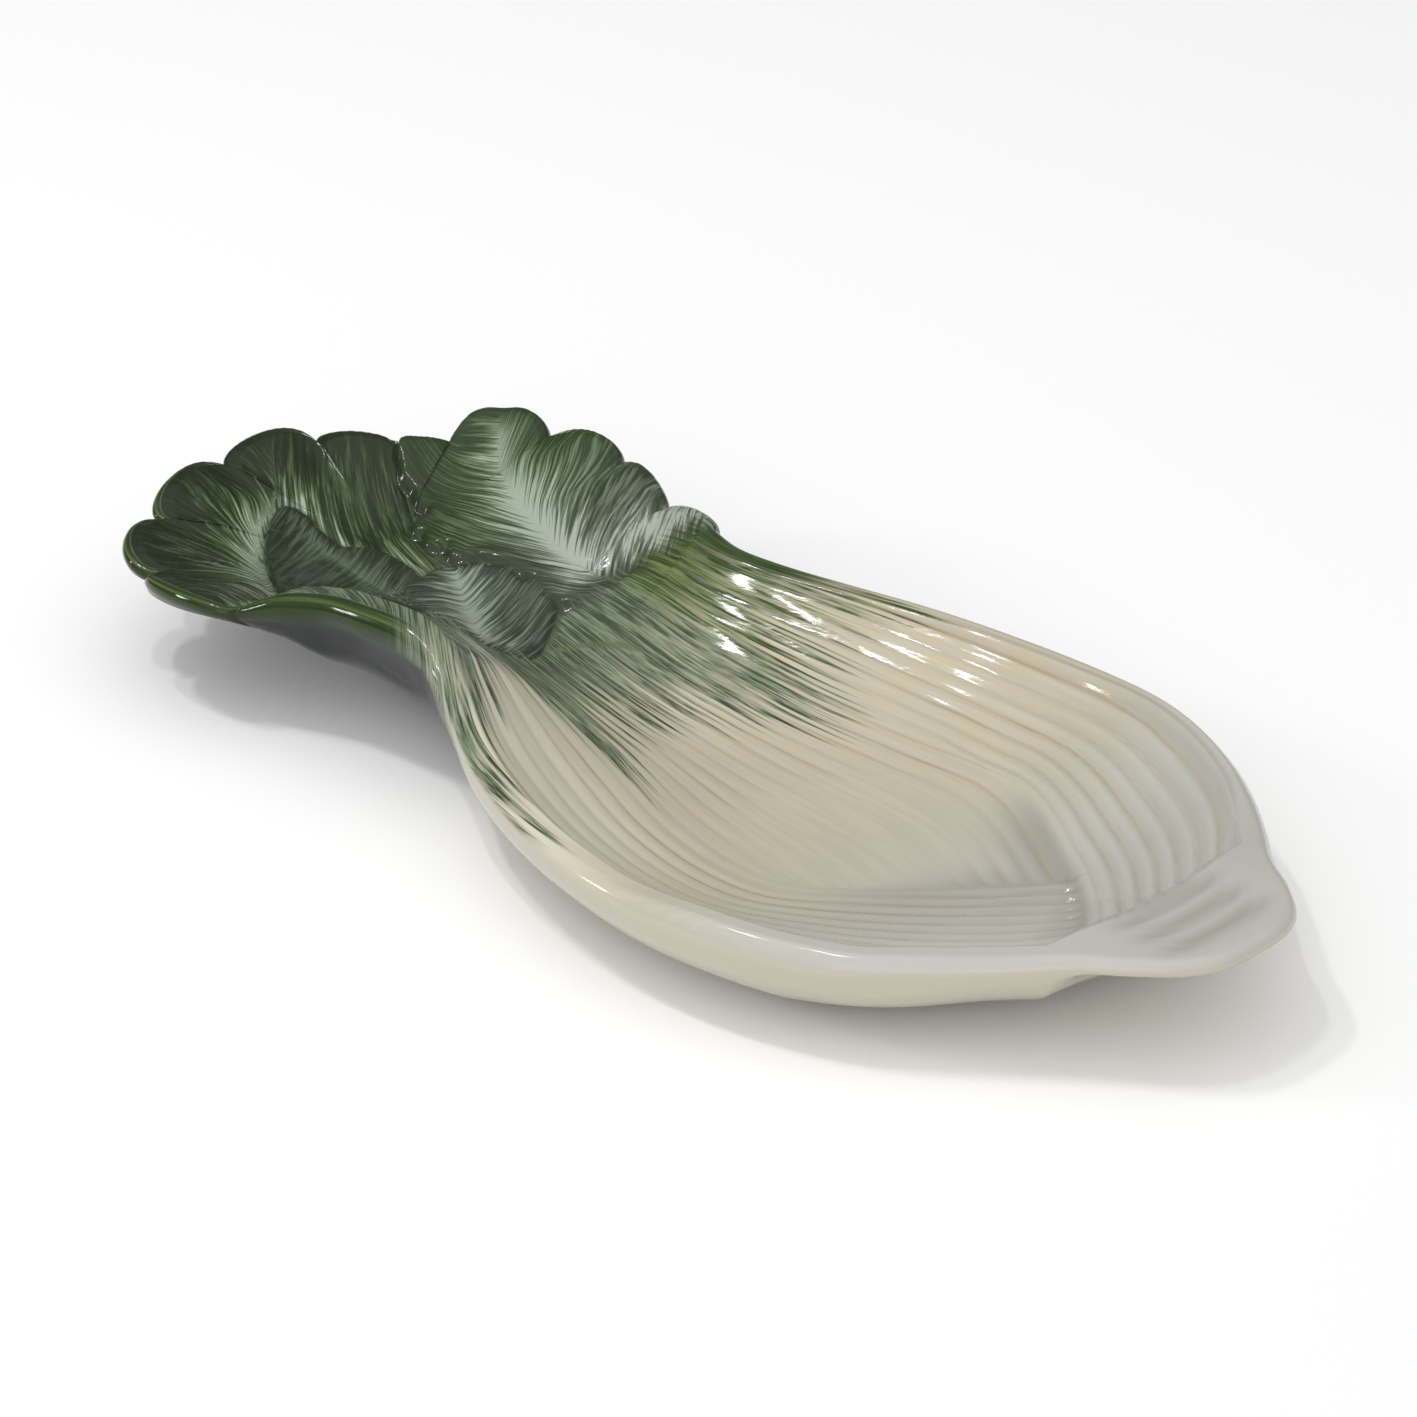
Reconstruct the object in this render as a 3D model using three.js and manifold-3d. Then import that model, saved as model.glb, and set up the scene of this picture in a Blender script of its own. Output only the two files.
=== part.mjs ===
// A ceramic dish in the shape of a bok choy: a bulb that forms the bowl, a pinched neck,
// a scalloped spread of leaves behind it and a flat root tab in front.
// Millimetres, +Z up, +X towards the root tab. The dish stands on its foot ring at Z = 0.
import * as THREE from 'three';
import Module from 'manifold-3d';
import { mergeVertices } from 'three/addons/utils/BufferGeometryUtils.js';

// Driving dimensions
const bowlFloorHeight = 6.5;      // inside floor of the bowl above the table
const floorThickness = 5;         // clay under the floor, above the recess inside the foot ring
const neckLift = 2;               // the underside rises by this much below the neck
const leafFloorRise = 12.5;       // how much higher the floor lies under the leaves
const leafFloorStart = -10;       // the floor begins to climb towards the leaves here
const spineLeafEnd = -100;        // middle line that the walls run out from
const spineRootEnd = 85;
const rootLine = 125;             // where the bowl ends and the flat root tab begins
const rootLineBend = 0.003;       // the root line bows slightly: mm for each square mm off the middle
const bowlEdgeRadius = 3;         // half the thickness of the rim
const tabEdgeRadius = 2.6;
const leafEdgeRadius = 2.2;
const lipRadius = 3.8;            // the rolled lip of the front leaf
const lipRecess = 2.5;            // how far the wall under the lip is set back
const leafThickness = 5.5;
const tabTaper = 0.12;            // slope of the tab's underside
const firstTurnUnder = 15;        // degrees round the outside wall to its first ring of points
const bowlWallReach = 33;         // width of the rounded outside wall, seen from above
const rootWallReach = 60;
const rootHang = 0.32;            // how much flatter the outside wall starts under the root tab
const liftedHeight = 28.5;        // front leaf edges above this height stand up like a wall
const liftedFade = 2.5;           // over this many mm more they come to stand up fully
const bowlWallShare = 0.62;       // share of the way in that the outside wall may curve under the bowl
const rootWallShare = 0.96;       // the same under the root tab
const leafWallShare = 0.9;        // the same under a spread leaf
const liftedWallShare = 0.42;     // the same under a leaf that stands up
const leafDish = 1.55;            // inside of a leaf: above 1 it is hollow, rising more towards the edge
const leafUnderDish = 1.7;        // the same for its underside
const footHalfLength = 56;
const footHalfWidth = 26;
const footCentre = 22;
const footRingWidth = 5;
const footRingTop = 4;            // the ring is let into the body up to here
const innerLoop = 0.25;           // part of the way out where the middle of the floor is closed
const underLoop = 0.15;           // the same for the underside
const insideLoops = [innerLoop, 0.42, 0.6, 0.74, 0.85, 0.93, 1];
const rimTurns = [90, 45, 0];
const outsideTurns = [firstTurnUnder, 30, 48, 68, 90];

// Stretches of the length over which one form passes into the next: [from, to]
const leavesToBowl = [-95, -35];
const lipStart = [-88, -76];
const lipEnd = [-44, -26];
const liftStart = [-98, -70];
const neckStart = [-80, -50];
const neckEnd = [-25, 0];
const tabStart = [122, 138];
const rootStart = [80, 112];
const hangStart = [104, 122];
const steepWallStart = [-20, 40];

// The edge seen from above, anticlockwise from the end of the root tab: [x, y, height of the edge]
const backEdge = [
  [148.8, 0, 26], [148.2, 9, 26], [145.5, 16, 26], [139.5, 21.8, 26], [130.8, 28, 25.5], [120.5, 38, 24.2],
  [109.3, 47.8, 23.2], [97.5, 56, 22.2], [77, 64.5, 22], [53, 68, 22], [28, 65.5, 22.5], [9, 60, 24],
  [-9, 52, 26], [-22, 46.5, 27.5], [-33, 44, 28.5], [-42, 45, 29.5],
];
// Each leaf lobe bulges out between the notch before it and its own notch, and lifts in between.
const leafLobes = [
  { notch: [-59.6, 45.5, 28], bulge: 0.19, lean: 0.14, lift: 1.4 },
  { notch: [-81, 51.5, 29], bulge: 0.18, lean: 0.16, lift: 1.4 },
  { notch: [-104.6, 50.5, 29.5], bulge: 0.21, lean: -0.05, lift: 1.4 },
  { notch: [-115.8, 31.4, 29.2], bulge: 0.5, lean: -0.21, lift: 1.4 },
  { notch: [-124, 21.5, 29.4], bulge: 0.04, lean: 0, lift: 0.2 },
  { notch: [-137, 7.5, 31.4], bulge: 0.23, lean: 0, lift: 1 },
  { notch: [-138, -17, 31.9], bulge: 0.27, lean: -0.1, lift: 2.4 },
  { notch: [-129, -41.5, 29.7], bulge: 0.27, lean: -0.05, lift: 2.2 },
  { notch: [-113, -55, 27], bulge: 0.38, lean: 0, lift: 1.2 },
  { notch: [-83, -56, 29.4], bulge: 0.22, lean: -0.08, lift: 1.4 },
];
const frontEdge = [
  [-83, -56, 29.4], [-75, -53, 33], [-64, -48.5, 35], [-52.5, -47, 36], [-42, -45.8, 36], [-35, -45.2, 34],
  [-28, -46.8, 30.5], [-18, -51.2, 27], [-6, -57, 24.5], [9, -62.2, 23], [28, -66.4, 22], [53, -68.4, 22],
  [77, -64.5, 22], [97, -56, 22], [108, -47.5, 23], [119, -37.5, 24], [130, -27.5, 25.5],
  [138.5, -21.2, 26], [145.1, -14.2, 26], [148.2, -7.8, 26],
];
const stepsPerSpan = 2;
const stepsPerLobe = 7;
const neighbours = 6;             // edge points on each side that a wall's place on the spine is evened over
const bulgeFullness = 0.8;        // below 1 rounds the shoulders of a lobe

const glaze = new THREE.MeshStandardMaterial({ color: 0xd9d6c6, roughness: 0.16, metalness: 0 });

const { clamp, lerp, smoothstep, degToRad } = THREE.MathUtils;

// 0 before the stretch, 1 after it.
function past(x, [from, to]) {
  return smoothstep(x, from, to);
}

// A smooth edge through its points, without the last one.
function smoothEdge(points) {
  const curve = new THREE.CatmullRomCurve3(points.map((p) => new THREE.Vector3(...p)), false, 'centripetal');
  const steps = (points.length - 1) * stepsPerSpan;
  return Array.from({ length: steps }, (_, i) => curve.getPoint(i / steps));
}

// A round lobe from one notch to the next, without the last point.
function lobeEdge(from, { notch, bulge, lean, lift }) {
  const start = new THREE.Vector3(...from);
  const chord = new THREE.Vector3(...notch).sub(start);
  const outward = new THREE.Vector3(chord.y, -chord.x, 0);
  return Array.from({ length: stepsPerLobe }, (_, i) => {
    const turn = (Math.PI * i) / stepsPerLobe;
    const along = 0.5 - 0.5 * Math.cos(turn) + lean * Math.sin(turn) ** 2;
    const out = bulge * Math.sin(turn) ** bulgeFullness;
    const point = start.clone().addScaledVector(chord, along).addScaledVector(outward, out);
    point.z += lift * Math.sin(turn);
    return point;
  });
}

function wholeEdge() {
  const starts = [backEdge.at(-1), ...leafLobes.slice(0, -1).map((lobe) => lobe.notch)];
  return [
    ...smoothEdge(backEdge),
    ...leafLobes.flatMap((lobe, i) => lobeEdge(starts[i], lobe)),
    ...smoothEdge(frontEdge),
    new THREE.Vector3(...frontEdge.at(-1)),
  ];
}

function floorHeight(x) {
  return bowlFloorHeight + leafFloorRise * (1 - smoothstep(x, spineLeafEnd, leafFloorStart));
}

// How far out the outside wall starts to curve under the floor, seen from above.
function wallReach(edgePoint, reach, land, leafy, lifted) {
  const rooted = past(edgePoint.x, rootStart);
  const widest = lerp(bowlWallReach, rootWallReach, rooted);
  const rounded = Math.min(widest, lerp(bowlWallShare, rootWallShare, rooted) * (reach - land));
  const share = lerp(leafWallShare, liftedWallShare, lifted);
  return lerp(rounded, share * reach, Math.max(leafy, lifted));
}

function rimRadius(edgePoint, leafy, lip) {
  const rooted = lerp(bowlEdgeRadius, tabEdgeRadius, past(edgePoint.x, tabStart));
  return lerp(lerp(rooted, leafEdgeRadius, leafy), lipRadius, lip);
}

// The wall at one point of the edge, and the spine point that it runs out from.
function wallAt(edgePoint, spineX) {
  const { x, y, z } = edgePoint;
  const inFront = y < 0 ? 1 : 0;
  const foot = new THREE.Vector3(clamp(spineX, spineLeafEnd, spineRootEnd), 0, 0);
  const inward = new THREE.Vector3(foot.x - x, -y, 0);
  const reach = inward.length();
  const leafy = 1 - past(x, leavesToBowl);
  const lip = past(x, lipStart) * (1 - past(x, lipEnd)) * inFront;
  const lifted = clamp((z - liftedHeight) / liftedFade, 0, 1) * past(x, liftStart) * inFront;
  const radius = rimRadius(edgePoint, leafy, lip);
  const tabLength = Math.max(0, x - rootLine + rootLineBend * y ** 2);
  const land = Math.max(2 * radius, (reach * tabLength) / Math.max(1, x - foot.x));
  const floor = floorHeight(foot.x);
  return {
    edge: edgePoint,
    inward: inward.normalize(),
    reach,
    land,
    radius,
    floor,
    open: 1 - past(x, steepWallStart),
    bottom: floor - floorThickness + neckLift * past(x, neckStart) * (1 - past(x, neckEnd)),
    underReach: land - 2 * radius + lipRecess * lip,
    outerReach: wallReach(edgePoint, reach, land, leafy, lifted),
    slack: leafy * (1 - lifted),
    hang: 1 + rootHang * past(x, hangStart),
  };
}

function pointOn(wall, inset, height) {
  const p = wall.edge.clone().addScaledVector(wall.inward, inset);
  p.z = height;
  return p;
}

// Inside slope: u is 0 at the spine and 1 where the rim begins.
function insideRise(wall, u) {
  const steep = 0.5 * u ** 3 + 0.5 * (1 - Math.sqrt(1 - u * u));
  return lerp(steep, u ** leafDish, wall.open);
}

function insidePoint(wall, u) {
  const height = lerp(wall.floor, wall.edge.z, insideRise(wall, u));
  return pointOn(wall, wall.reach - u * (wall.reach - wall.land), height);
}

// Rim: a quarter turn from the outermost line up to the crest.
function rimPoint(wall, degrees) {
  const turn = degToRad(degrees);
  const inset = wall.radius * (1 - Math.cos(turn));
  return pointOn(wall, inset, wall.edge.z - wall.radius * (1 - Math.sin(turn)));
}

// Outside wall: a quarter ellipse under the bowl, set back under the root tab and the lip, and
// parallel to the inside under the spread leaves.
function outsidePoint(wall, degrees) {
  const turn = degToRad(degrees);
  const under = Math.min(1, degrees / firstTurnUnder) * wall.underReach;
  const inset = under + wall.outerReach * (1 - Math.cos(turn));
  const top = wall.edge.z - wall.radius - tabTaper * under;
  const rounded = lerp(top, wall.bottom, Math.sin(turn) ** wall.hang);
  const u = clamp((wall.reach - inset) / (wall.reach - wall.land), 0, 1);
  const parallel = Math.min(top, lerp(wall.floor, wall.edge.z, u ** leafUnderDish) - leafThickness);
  return pointOn(wall, inset, lerp(rounded, parallel, wall.slack));
}

// Rings of points from the middle of the floor over the rim to the middle of the underside.
function bodyRings(walls) {
  const inside = insideLoops.map((u) => (wall) => insidePoint(wall, u));
  const rim = rimTurns.map((degrees) => (wall) => rimPoint(wall, degrees));
  const outside = outsideTurns.map((degrees) => (wall) => outsidePoint(wall, degrees));
  const middle = (wall) => pointOn(wall, (1 - underLoop) * wall.reach, wall.bottom);
  return [...inside, ...rim, ...outside, middle].map((makePoint) => walls.map(makePoint));
}

// Closes a ring from side to side, starting at the root end, whichever side lies nearer to it first.
function capTriangles(ring, firstIndex, facingUp) {
  const faces = [];
  let back = 0;
  let front = ring.length - 1;
  while (front - back > 1) {
    if (ring[back + 1].x > ring[front - 1].x) {
      faces.push([back, back + 1, front]);
      back += 1;
    } else {
      faces.push([back, front - 1, front]);
      front -= 1;
    }
  }
  return faces.flatMap(([a, b, c]) => (facingUp ? [a, b, c] : [a, c, b]).map((i) => firstIndex + i));
}

function closedBody(rings) {
  const count = rings[0].length;
  const index = [];
  for (let row = 0; row < rings.length - 1; row += 1) {
    for (let i = 0; i < count; i += 1) {
      const next = (i + 1) % count;
      const a = row * count + i;
      const b = row * count + next;
      index.push(a, a + count, b + count, a, b + count, b);
    }
  }
  index.push(...capTriangles(rings[0], 0, true));
  index.push(...capTriangles(rings.at(-1), (rings.length - 1) * count, false));
  const geometry = new THREE.BufferGeometry().setFromPoints(rings.flat());
  geometry.setIndex(index);
  return geometry;
}

// Mean of each edge point's x and its neighbours', so that the walls fan out evenly past the lobes.
function spinePlaces(edge) {
  return edge.map((_, i) => {
    let sum = 0;
    for (let k = -neighbours; k <= neighbours; k += 1) {
      sum += edge[(i + k + edge.length) % edge.length].x;
    }
    return sum / (2 * neighbours + 1);
  });
}

function dishBody() {
  const edge = wholeEdge();
  const places = spinePlaces(edge);
  return closedBody(bodyRings(edge.map((point, i) => wallAt(point, places[i]))));
}

// An oval ring that the dish stands on.
function footRing() {
  const oval = new THREE.Shape();
  oval.absellipse(0, 0, footHalfLength, footHalfWidth, 0, 2 * Math.PI, false);
  const hole = new THREE.Path();
  hole.absellipse(0, 0, footHalfLength - footRingWidth, footHalfWidth - footRingWidth, 0, 2 * Math.PI, true);
  oval.holes.push(hole);
  const ring = new THREE.ExtrudeGeometry(oval, { depth: footRingTop, bevelEnabled: false, curveSegments: 32 });
  return ring.translate(footCentre, 0, 0);
}

const wasm = await Module();
wasm.setup();

function toSolid(geometry) {
  const bare = new THREE.BufferGeometry();
  bare.setAttribute('position', geometry.getAttribute('position'));
  bare.setIndex(geometry.getIndex());
  const merged = mergeVertices(bare, 1e-4);
  return new wasm.Manifold(new wasm.Mesh({
    numProp: 3,
    vertProperties: Float32Array.from(merged.getAttribute('position').array),
    triVerts: Uint32Array.from(merged.getIndex().array),
  }));
}

function toGeometry(solid) {
  const mesh = solid.getMesh();
  const geometry = new THREE.BufferGeometry();
  geometry.setAttribute('position', new THREE.BufferAttribute(mesh.vertProperties, 3));
  geometry.setIndex(new THREE.BufferAttribute(mesh.triVerts, 1));
  return geometry;
}

// Origin under the middle of the dish.
function centred(geometry) {
  geometry.computeBoundingBox();
  const middle = geometry.boundingBox.getCenter(new THREE.Vector3());
  return geometry.translate(-middle.x, -middle.y, 0);
}

const dish = new THREE.Mesh(centred(toGeometry(toSolid(dishBody()).add(toSolid(footRing())))), glaze);
dish.name = 'bok_choy_dish';

const model = new THREE.Group();
model.add(dish);

export default model;
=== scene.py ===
import math

import bpy
import numpy as np
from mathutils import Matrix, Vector


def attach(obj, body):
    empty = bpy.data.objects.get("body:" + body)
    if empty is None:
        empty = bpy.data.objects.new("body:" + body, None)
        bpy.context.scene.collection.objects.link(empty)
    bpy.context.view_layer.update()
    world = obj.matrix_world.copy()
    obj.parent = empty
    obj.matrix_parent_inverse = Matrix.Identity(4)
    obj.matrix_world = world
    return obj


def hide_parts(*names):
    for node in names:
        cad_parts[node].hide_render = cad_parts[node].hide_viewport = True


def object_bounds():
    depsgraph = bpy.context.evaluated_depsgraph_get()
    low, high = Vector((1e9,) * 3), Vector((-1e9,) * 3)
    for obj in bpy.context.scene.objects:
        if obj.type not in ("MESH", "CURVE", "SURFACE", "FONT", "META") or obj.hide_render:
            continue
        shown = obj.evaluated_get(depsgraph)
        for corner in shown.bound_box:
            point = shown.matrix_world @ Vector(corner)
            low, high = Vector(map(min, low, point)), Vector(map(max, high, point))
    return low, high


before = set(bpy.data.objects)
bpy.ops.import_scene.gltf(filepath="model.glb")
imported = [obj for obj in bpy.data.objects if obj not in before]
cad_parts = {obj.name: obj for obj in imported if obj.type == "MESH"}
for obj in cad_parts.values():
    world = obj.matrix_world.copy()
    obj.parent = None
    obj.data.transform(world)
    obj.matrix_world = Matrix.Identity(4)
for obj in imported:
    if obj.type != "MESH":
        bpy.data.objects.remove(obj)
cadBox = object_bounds()
mm = 0.001
print("frame loaded")

# Lengths are in mm along the dish: +x to the root tab, +y to the far side, z up from the table.
# The edge runs anticlockwise from the end of the root tab: [x, y, height of the edge].
edgeOfDish = {
    "back": [
        [148.8, 0, 26], [148.2, 9, 26], [145.5, 16, 26], [139.5, 21.8, 26], [130.8, 28, 25.5],
        [120.5, 38, 24.2], [109.3, 47.8, 23.2], [97.5, 56, 22.2], [77, 64.5, 22], [53, 68, 22],
        [28, 65.5, 22.5], [9, 60, 24], [-9, 52, 26], [-22, 46.5, 27.5], [-33, 44, 28.5],
        [-42, 45, 29.5],
    ],
    # each lobe ends in its own notch: [notch], bulge, lean, lift
    "lobes": [
        [[-59.6, 45.5, 28], 0.19, 0.14, 1.4],
        [[-81, 51.5, 29], 0.18, 0.16, 1.4],
        [[-101.6, 48.4, 29.4], 0.24, -0.04, 2.8],
        [[-118.6, 33.6, 28], 0.48, 0.04, 3.8],
        [[-124, 21.5, 29.4], 0.04, 0, 0.9],
        [[-137, 7.5, 31.4], 0.23, 0, 1],
        [[-138, -17, 31.9], 0.27, -0.1, 2.4],
        [[-129, -41.5, 29.7], 0.27, -0.05, 2.2],
        [[-113, -55, 27], 0.38, 0, 1.2],
        [[-83, -56, 29.4], 0.22, -0.08, 1.4],
    ],
    "front": [
        [-83, -56, 29.4], [-75, -53, 33], [-64, -48.5, 35], [-52.5, -47, 36], [-42, -45.8, 36],
        [-35, -45.2, 34], [-28, -46.8, 30.5], [-18, -51.2, 27], [-6, -57, 24.5], [9, -62.2, 23],
        [28, -66.4, 22], [53, -68.4, 22], [77, -64.5, 22], [97, -56, 22], [108, -47.5, 23],
        [119, -37.5, 24], [130, -27.5, 25.5], [138.5, -21.2, 26], [145.1, -14.2, 26],
        [148.2, -7.8, 26],
    ],
}

edgeStep = 0.4  # between the points of the evened edge

dish = {
    "bowlFloor": 6.5,
    "floorThickness": 5,
    "neckLift": 2,
    "leafFloorRise": 12.5,
    "leafFloorStart": -10,
    "spineLeafEnd": -100,
    "spineRootEnd": 85,
    "rootLine": 125,
    "rootLineBend": 0.003,
    "bowlEdgeRadius": 3,
    "leafEdgeRadius": 2.2,
    "tabEdgeRadius": 2.6,
    "lipRadius": 3.8,
    "lipRecess": 2.5,
    "lobeSharpness": 0.8,
    "leafThickness": 5.5,
    "leafOverrun": 1.1,  # how far past the evened edge the underside of a leaf keeps rising
    "underFlat": 0.6,
    "tabTaper": 0.12,
    "firstTurnUnder": 15,
    "bowlWallReach": 33,
    "rootWallReach": 60,
    "rootHang": 0.32,
    "wallShares": (0.62, 0.96),  # how far in the outside wall may curve: in the bowl, at the root
    "leafWallShare": 0.9,
    "liftedWallShare": 0.42,
    "liftedHeight": 28.5,
    "liftedFade": 2.5,
    "bowlRoundness": 0.5,  # 0 a cubic wall, 1 a quarter of a circle
    "broadLiftFrom": 0.45,  # shares of the way out where the inside begins to follow its own edge
    "closeLiftFrom": 0.8,
    "leafHollow": 1.55,  # above 1 a leaf rises more towards its edge
    "leafUnderHollow": 1.7,
    "footHalfLength": 56,
    "footHalfWidth": 26,
    "footCentre": 22,
    "footRingWidth": 5,
    "footReach": 12,  # only the underside below this height drops to the foot
    "footRound": (-0.2, 0.9),
    "insideRows": 76,
    "landRows": 9,
    "rimTurns": [0, 18, 36, 54, 72, 90],
    "underTurns": [8, 15, 23, 31, 40, 50, 60, 72, 90],
    "underRows": 7,
}

# stretches of x over which one form of the dish passes into the next
passes = {
    "leaves": (-95, -35),
    "liftBegins": (-98, -70),
    "lipBegins": (-88, -76),
    "lipEnds": (-44, -26),
    "neckBegins": (-80, -50),
    "neckEnds": (-25, 0),
    "bowlCloses": (-20, 40),
    "rootWall": (80, 112),
    "rootHang": (104, 122),
    "tabEdge": (122, 138),
}


def lerp(a, b, share):
    return a + (b - a) * share


def ease(value, low, high):
    share = np.clip((value - low) / (high - low), 0, 1)
    return share * share * (3 - 2 * share)


def smoothCurve(points, stepsPerSpan=12):  # centripetal Catmull-Rom through given points
    p = np.array(points, float)
    p = np.vstack([2 * p[0] - p[1], p, 2 * p[-1] - p[-2]])
    share = np.linspace(0, 1, stepsPerSpan, endpoint=False)[:, None]
    pieces = []
    for a, b, c, d in zip(p, p[1:], p[2:], p[3:]):
        before, here, after = (np.linalg.norm(v) ** 0.5 for v in (b - a, c - b, d - c))
        leave = (b - a) / before - (c - a) / (before + here) + (c - b) / here
        arrive = (c - b) / here - (d - b) / (here + after) + (d - c) / after
        leave, arrive = leave * here, arrive * here
        square = 3 * (c - b) - 2 * leave - arrive
        cube = 2 * (b - c) + leave + arrive
        pieces.append(b + leave * share + square * share**2 + cube * share**3)
    return np.vstack([*pieces, p[-2]])


def lineHeight(points, x):  # y of a line through given points at each x
    line = smoothCurve(points)
    order = np.argsort(line[:, 0])
    return np.interp(x, line[order, 0], line[order, 1])


def nearestOn(line, x, y):
    # distance from each point to a line, length along the line there, and the side: +1 left of it
    line = np.asarray(line, float)
    steps = np.diff(line, axis=0)
    lengths = np.linalg.norm(steps, axis=1)
    starts = np.concatenate([[0], np.cumsum(lengths)])
    best = np.full(x.shape, 1e9)
    along = np.zeros(x.shape)
    side = np.ones(x.shape)
    for (ax, ay), (sx, sy), length, start in zip(line, steps, lengths, starts):
        px, py = x - ax, y - ay
        share = np.clip((px * sx + py * sy) / length**2, 0, 1)
        gap = np.hypot(px - share * sx, py - share * sy)
        closer = gap < best
        best = np.where(closer, gap, best)
        along = np.where(closer, start + share * length, along)
        side = np.where(closer, np.where(sx * py - sy * px >= 0, 1.0, -1.0), side)
    return best, along, side


def marginDistance(outline, x, y):  # positive inside the closed outline, negative outside
    loop = smoothCurve([*outline, outline[0]], stepsPerSpan=5)
    gap, _, _ = nearestOn(loop, x, y)
    inside = np.zeros(x.shape, bool)
    for (ax, ay), (bx, by) in zip(loop, loop[1:]):
        if ay == by:
            continue
        crosses = (ay > y) != (by > y)
        inside ^= crosses & (x < ax + (y - ay) * (bx - ax) / (by - ay))
    return np.where(inside, gap, -gap)


def lobeEdge(start, notch, bulge, lean, lift, steps=40):  # one scallop, from notch to notch
    start, chord = np.array(start, float), np.subtract(notch, start)
    turn = np.linspace(0, math.pi, steps, endpoint=False)[:, None]
    along = 0.5 - 0.5 * np.cos(turn) + lean * np.sin(turn) ** 2
    out = bulge * np.sin(turn) ** dish["lobeSharpness"]
    outward = np.array([chord[1], -chord[0], 0])
    return start + chord * along + outward * out + np.array([0, 0, lift]) * np.sin(turn)


def wholeEdge():
    pieces = [smoothCurve(edgeOfDish["back"], stepsPerSpan=24)[:-1]]
    start = edgeOfDish["back"][-1]
    for notch, bulge, lean, lift in edgeOfDish["lobes"]:
        pieces.append(lobeEdge(start, notch, bulge, lean, lift))
        start = notch
    front = smoothCurve([*edgeOfDish["front"], edgeOfDish["back"][0]], stepsPerSpan=24)
    pieces.append(front[:-1])
    return np.vstack(pieces)


def evenLoop(loop):  # the same loop with its points at even steps
    closed = np.vstack([loop, loop[0]])
    length = np.concatenate([[0], np.cumsum(np.linalg.norm(np.diff(closed, axis=0), axis=1))])
    places = np.linspace(0, length[-1], int(length[-1] / edgeStep), endpoint=False)
    return np.stack([np.interp(places, length, closed[:, i]) for i in range(3)], axis=1)


def softened(loop, width):  # the same loop with the lobes evened out
    reach = int(3 * width / edgeStep)
    weights = np.exp(-0.5 * (np.arange(-reach, reach + 1) * edgeStep / width) ** 2)
    padded = np.vstack([loop[-reach:], loop, loop[:reach]])
    return np.stack([np.convolve(padded[:, i], weights / weights.sum(), "valid") for i in range(3)], axis=1)


# columns are places round the edge, measured along a stadium round the middle line
columns = {
    "fanRadius": 50,
    # [place, gap between columns there]
    "gaps": [[0, 0.95], [105, 0.95], [125, 1.5], [185, 1.5], [205, 0.52], [400, 0.5]],
    "softening": 9,
    "closeSoftening": 3.5,
}


def stadiumPlace(points):  # how far round the stadium each point lies, from the root end
    x, y = points[:, 0], points[:, 1]
    rootEnd, leafEnd, radius = dish["spineRootEnd"], dish["spineLeafEnd"], columns["fanRadius"]
    rootTurn = np.arctan2(np.abs(y), np.maximum(x - rootEnd, 0))
    leafTurn = np.arctan2(np.maximum(leafEnd - x, 0), np.abs(y))
    half = radius * (rootTurn + leafTurn) + np.clip(rootEnd - x, 0, rootEnd - leafEnd)
    return np.where(y >= 0, half, 2 * halfRound() - half)


def halfRound():
    return math.pi * columns["fanRadius"] + dish["spineRootEnd"] - dish["spineLeafEnd"]


def columnPlaces():  # places of the columns of one side, closest together at the leaves
    fine = np.linspace(0, halfRound(), 3000)
    sizes = np.interp(fine, *np.array(columns["gaps"]).T)
    count = np.concatenate([[0], np.cumsum(np.diff(fine) / sizes[1:])])
    return np.interp(np.linspace(0, count[-1], int(count[-1]) + 1), count, fine)


def follow(places, loop, at):  # the points of a loop at given places round the stadium
    order = np.argsort(places)
    full = 2 * halfRound()
    inOrder = loop[order]
    return np.stack([np.interp(at, places[order], values, period=full) for values in inOrder.T], axis=1)


def rootBent(x, y):  # x, further to the root away from the middle, as the line before the tab curves
    return x + dish["rootLineBend"] * y**2


def leafShare(x):  # 0 in the bowl, 1 in the spread leaves
    return 1 - ease(x, *passes["leaves"])


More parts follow.
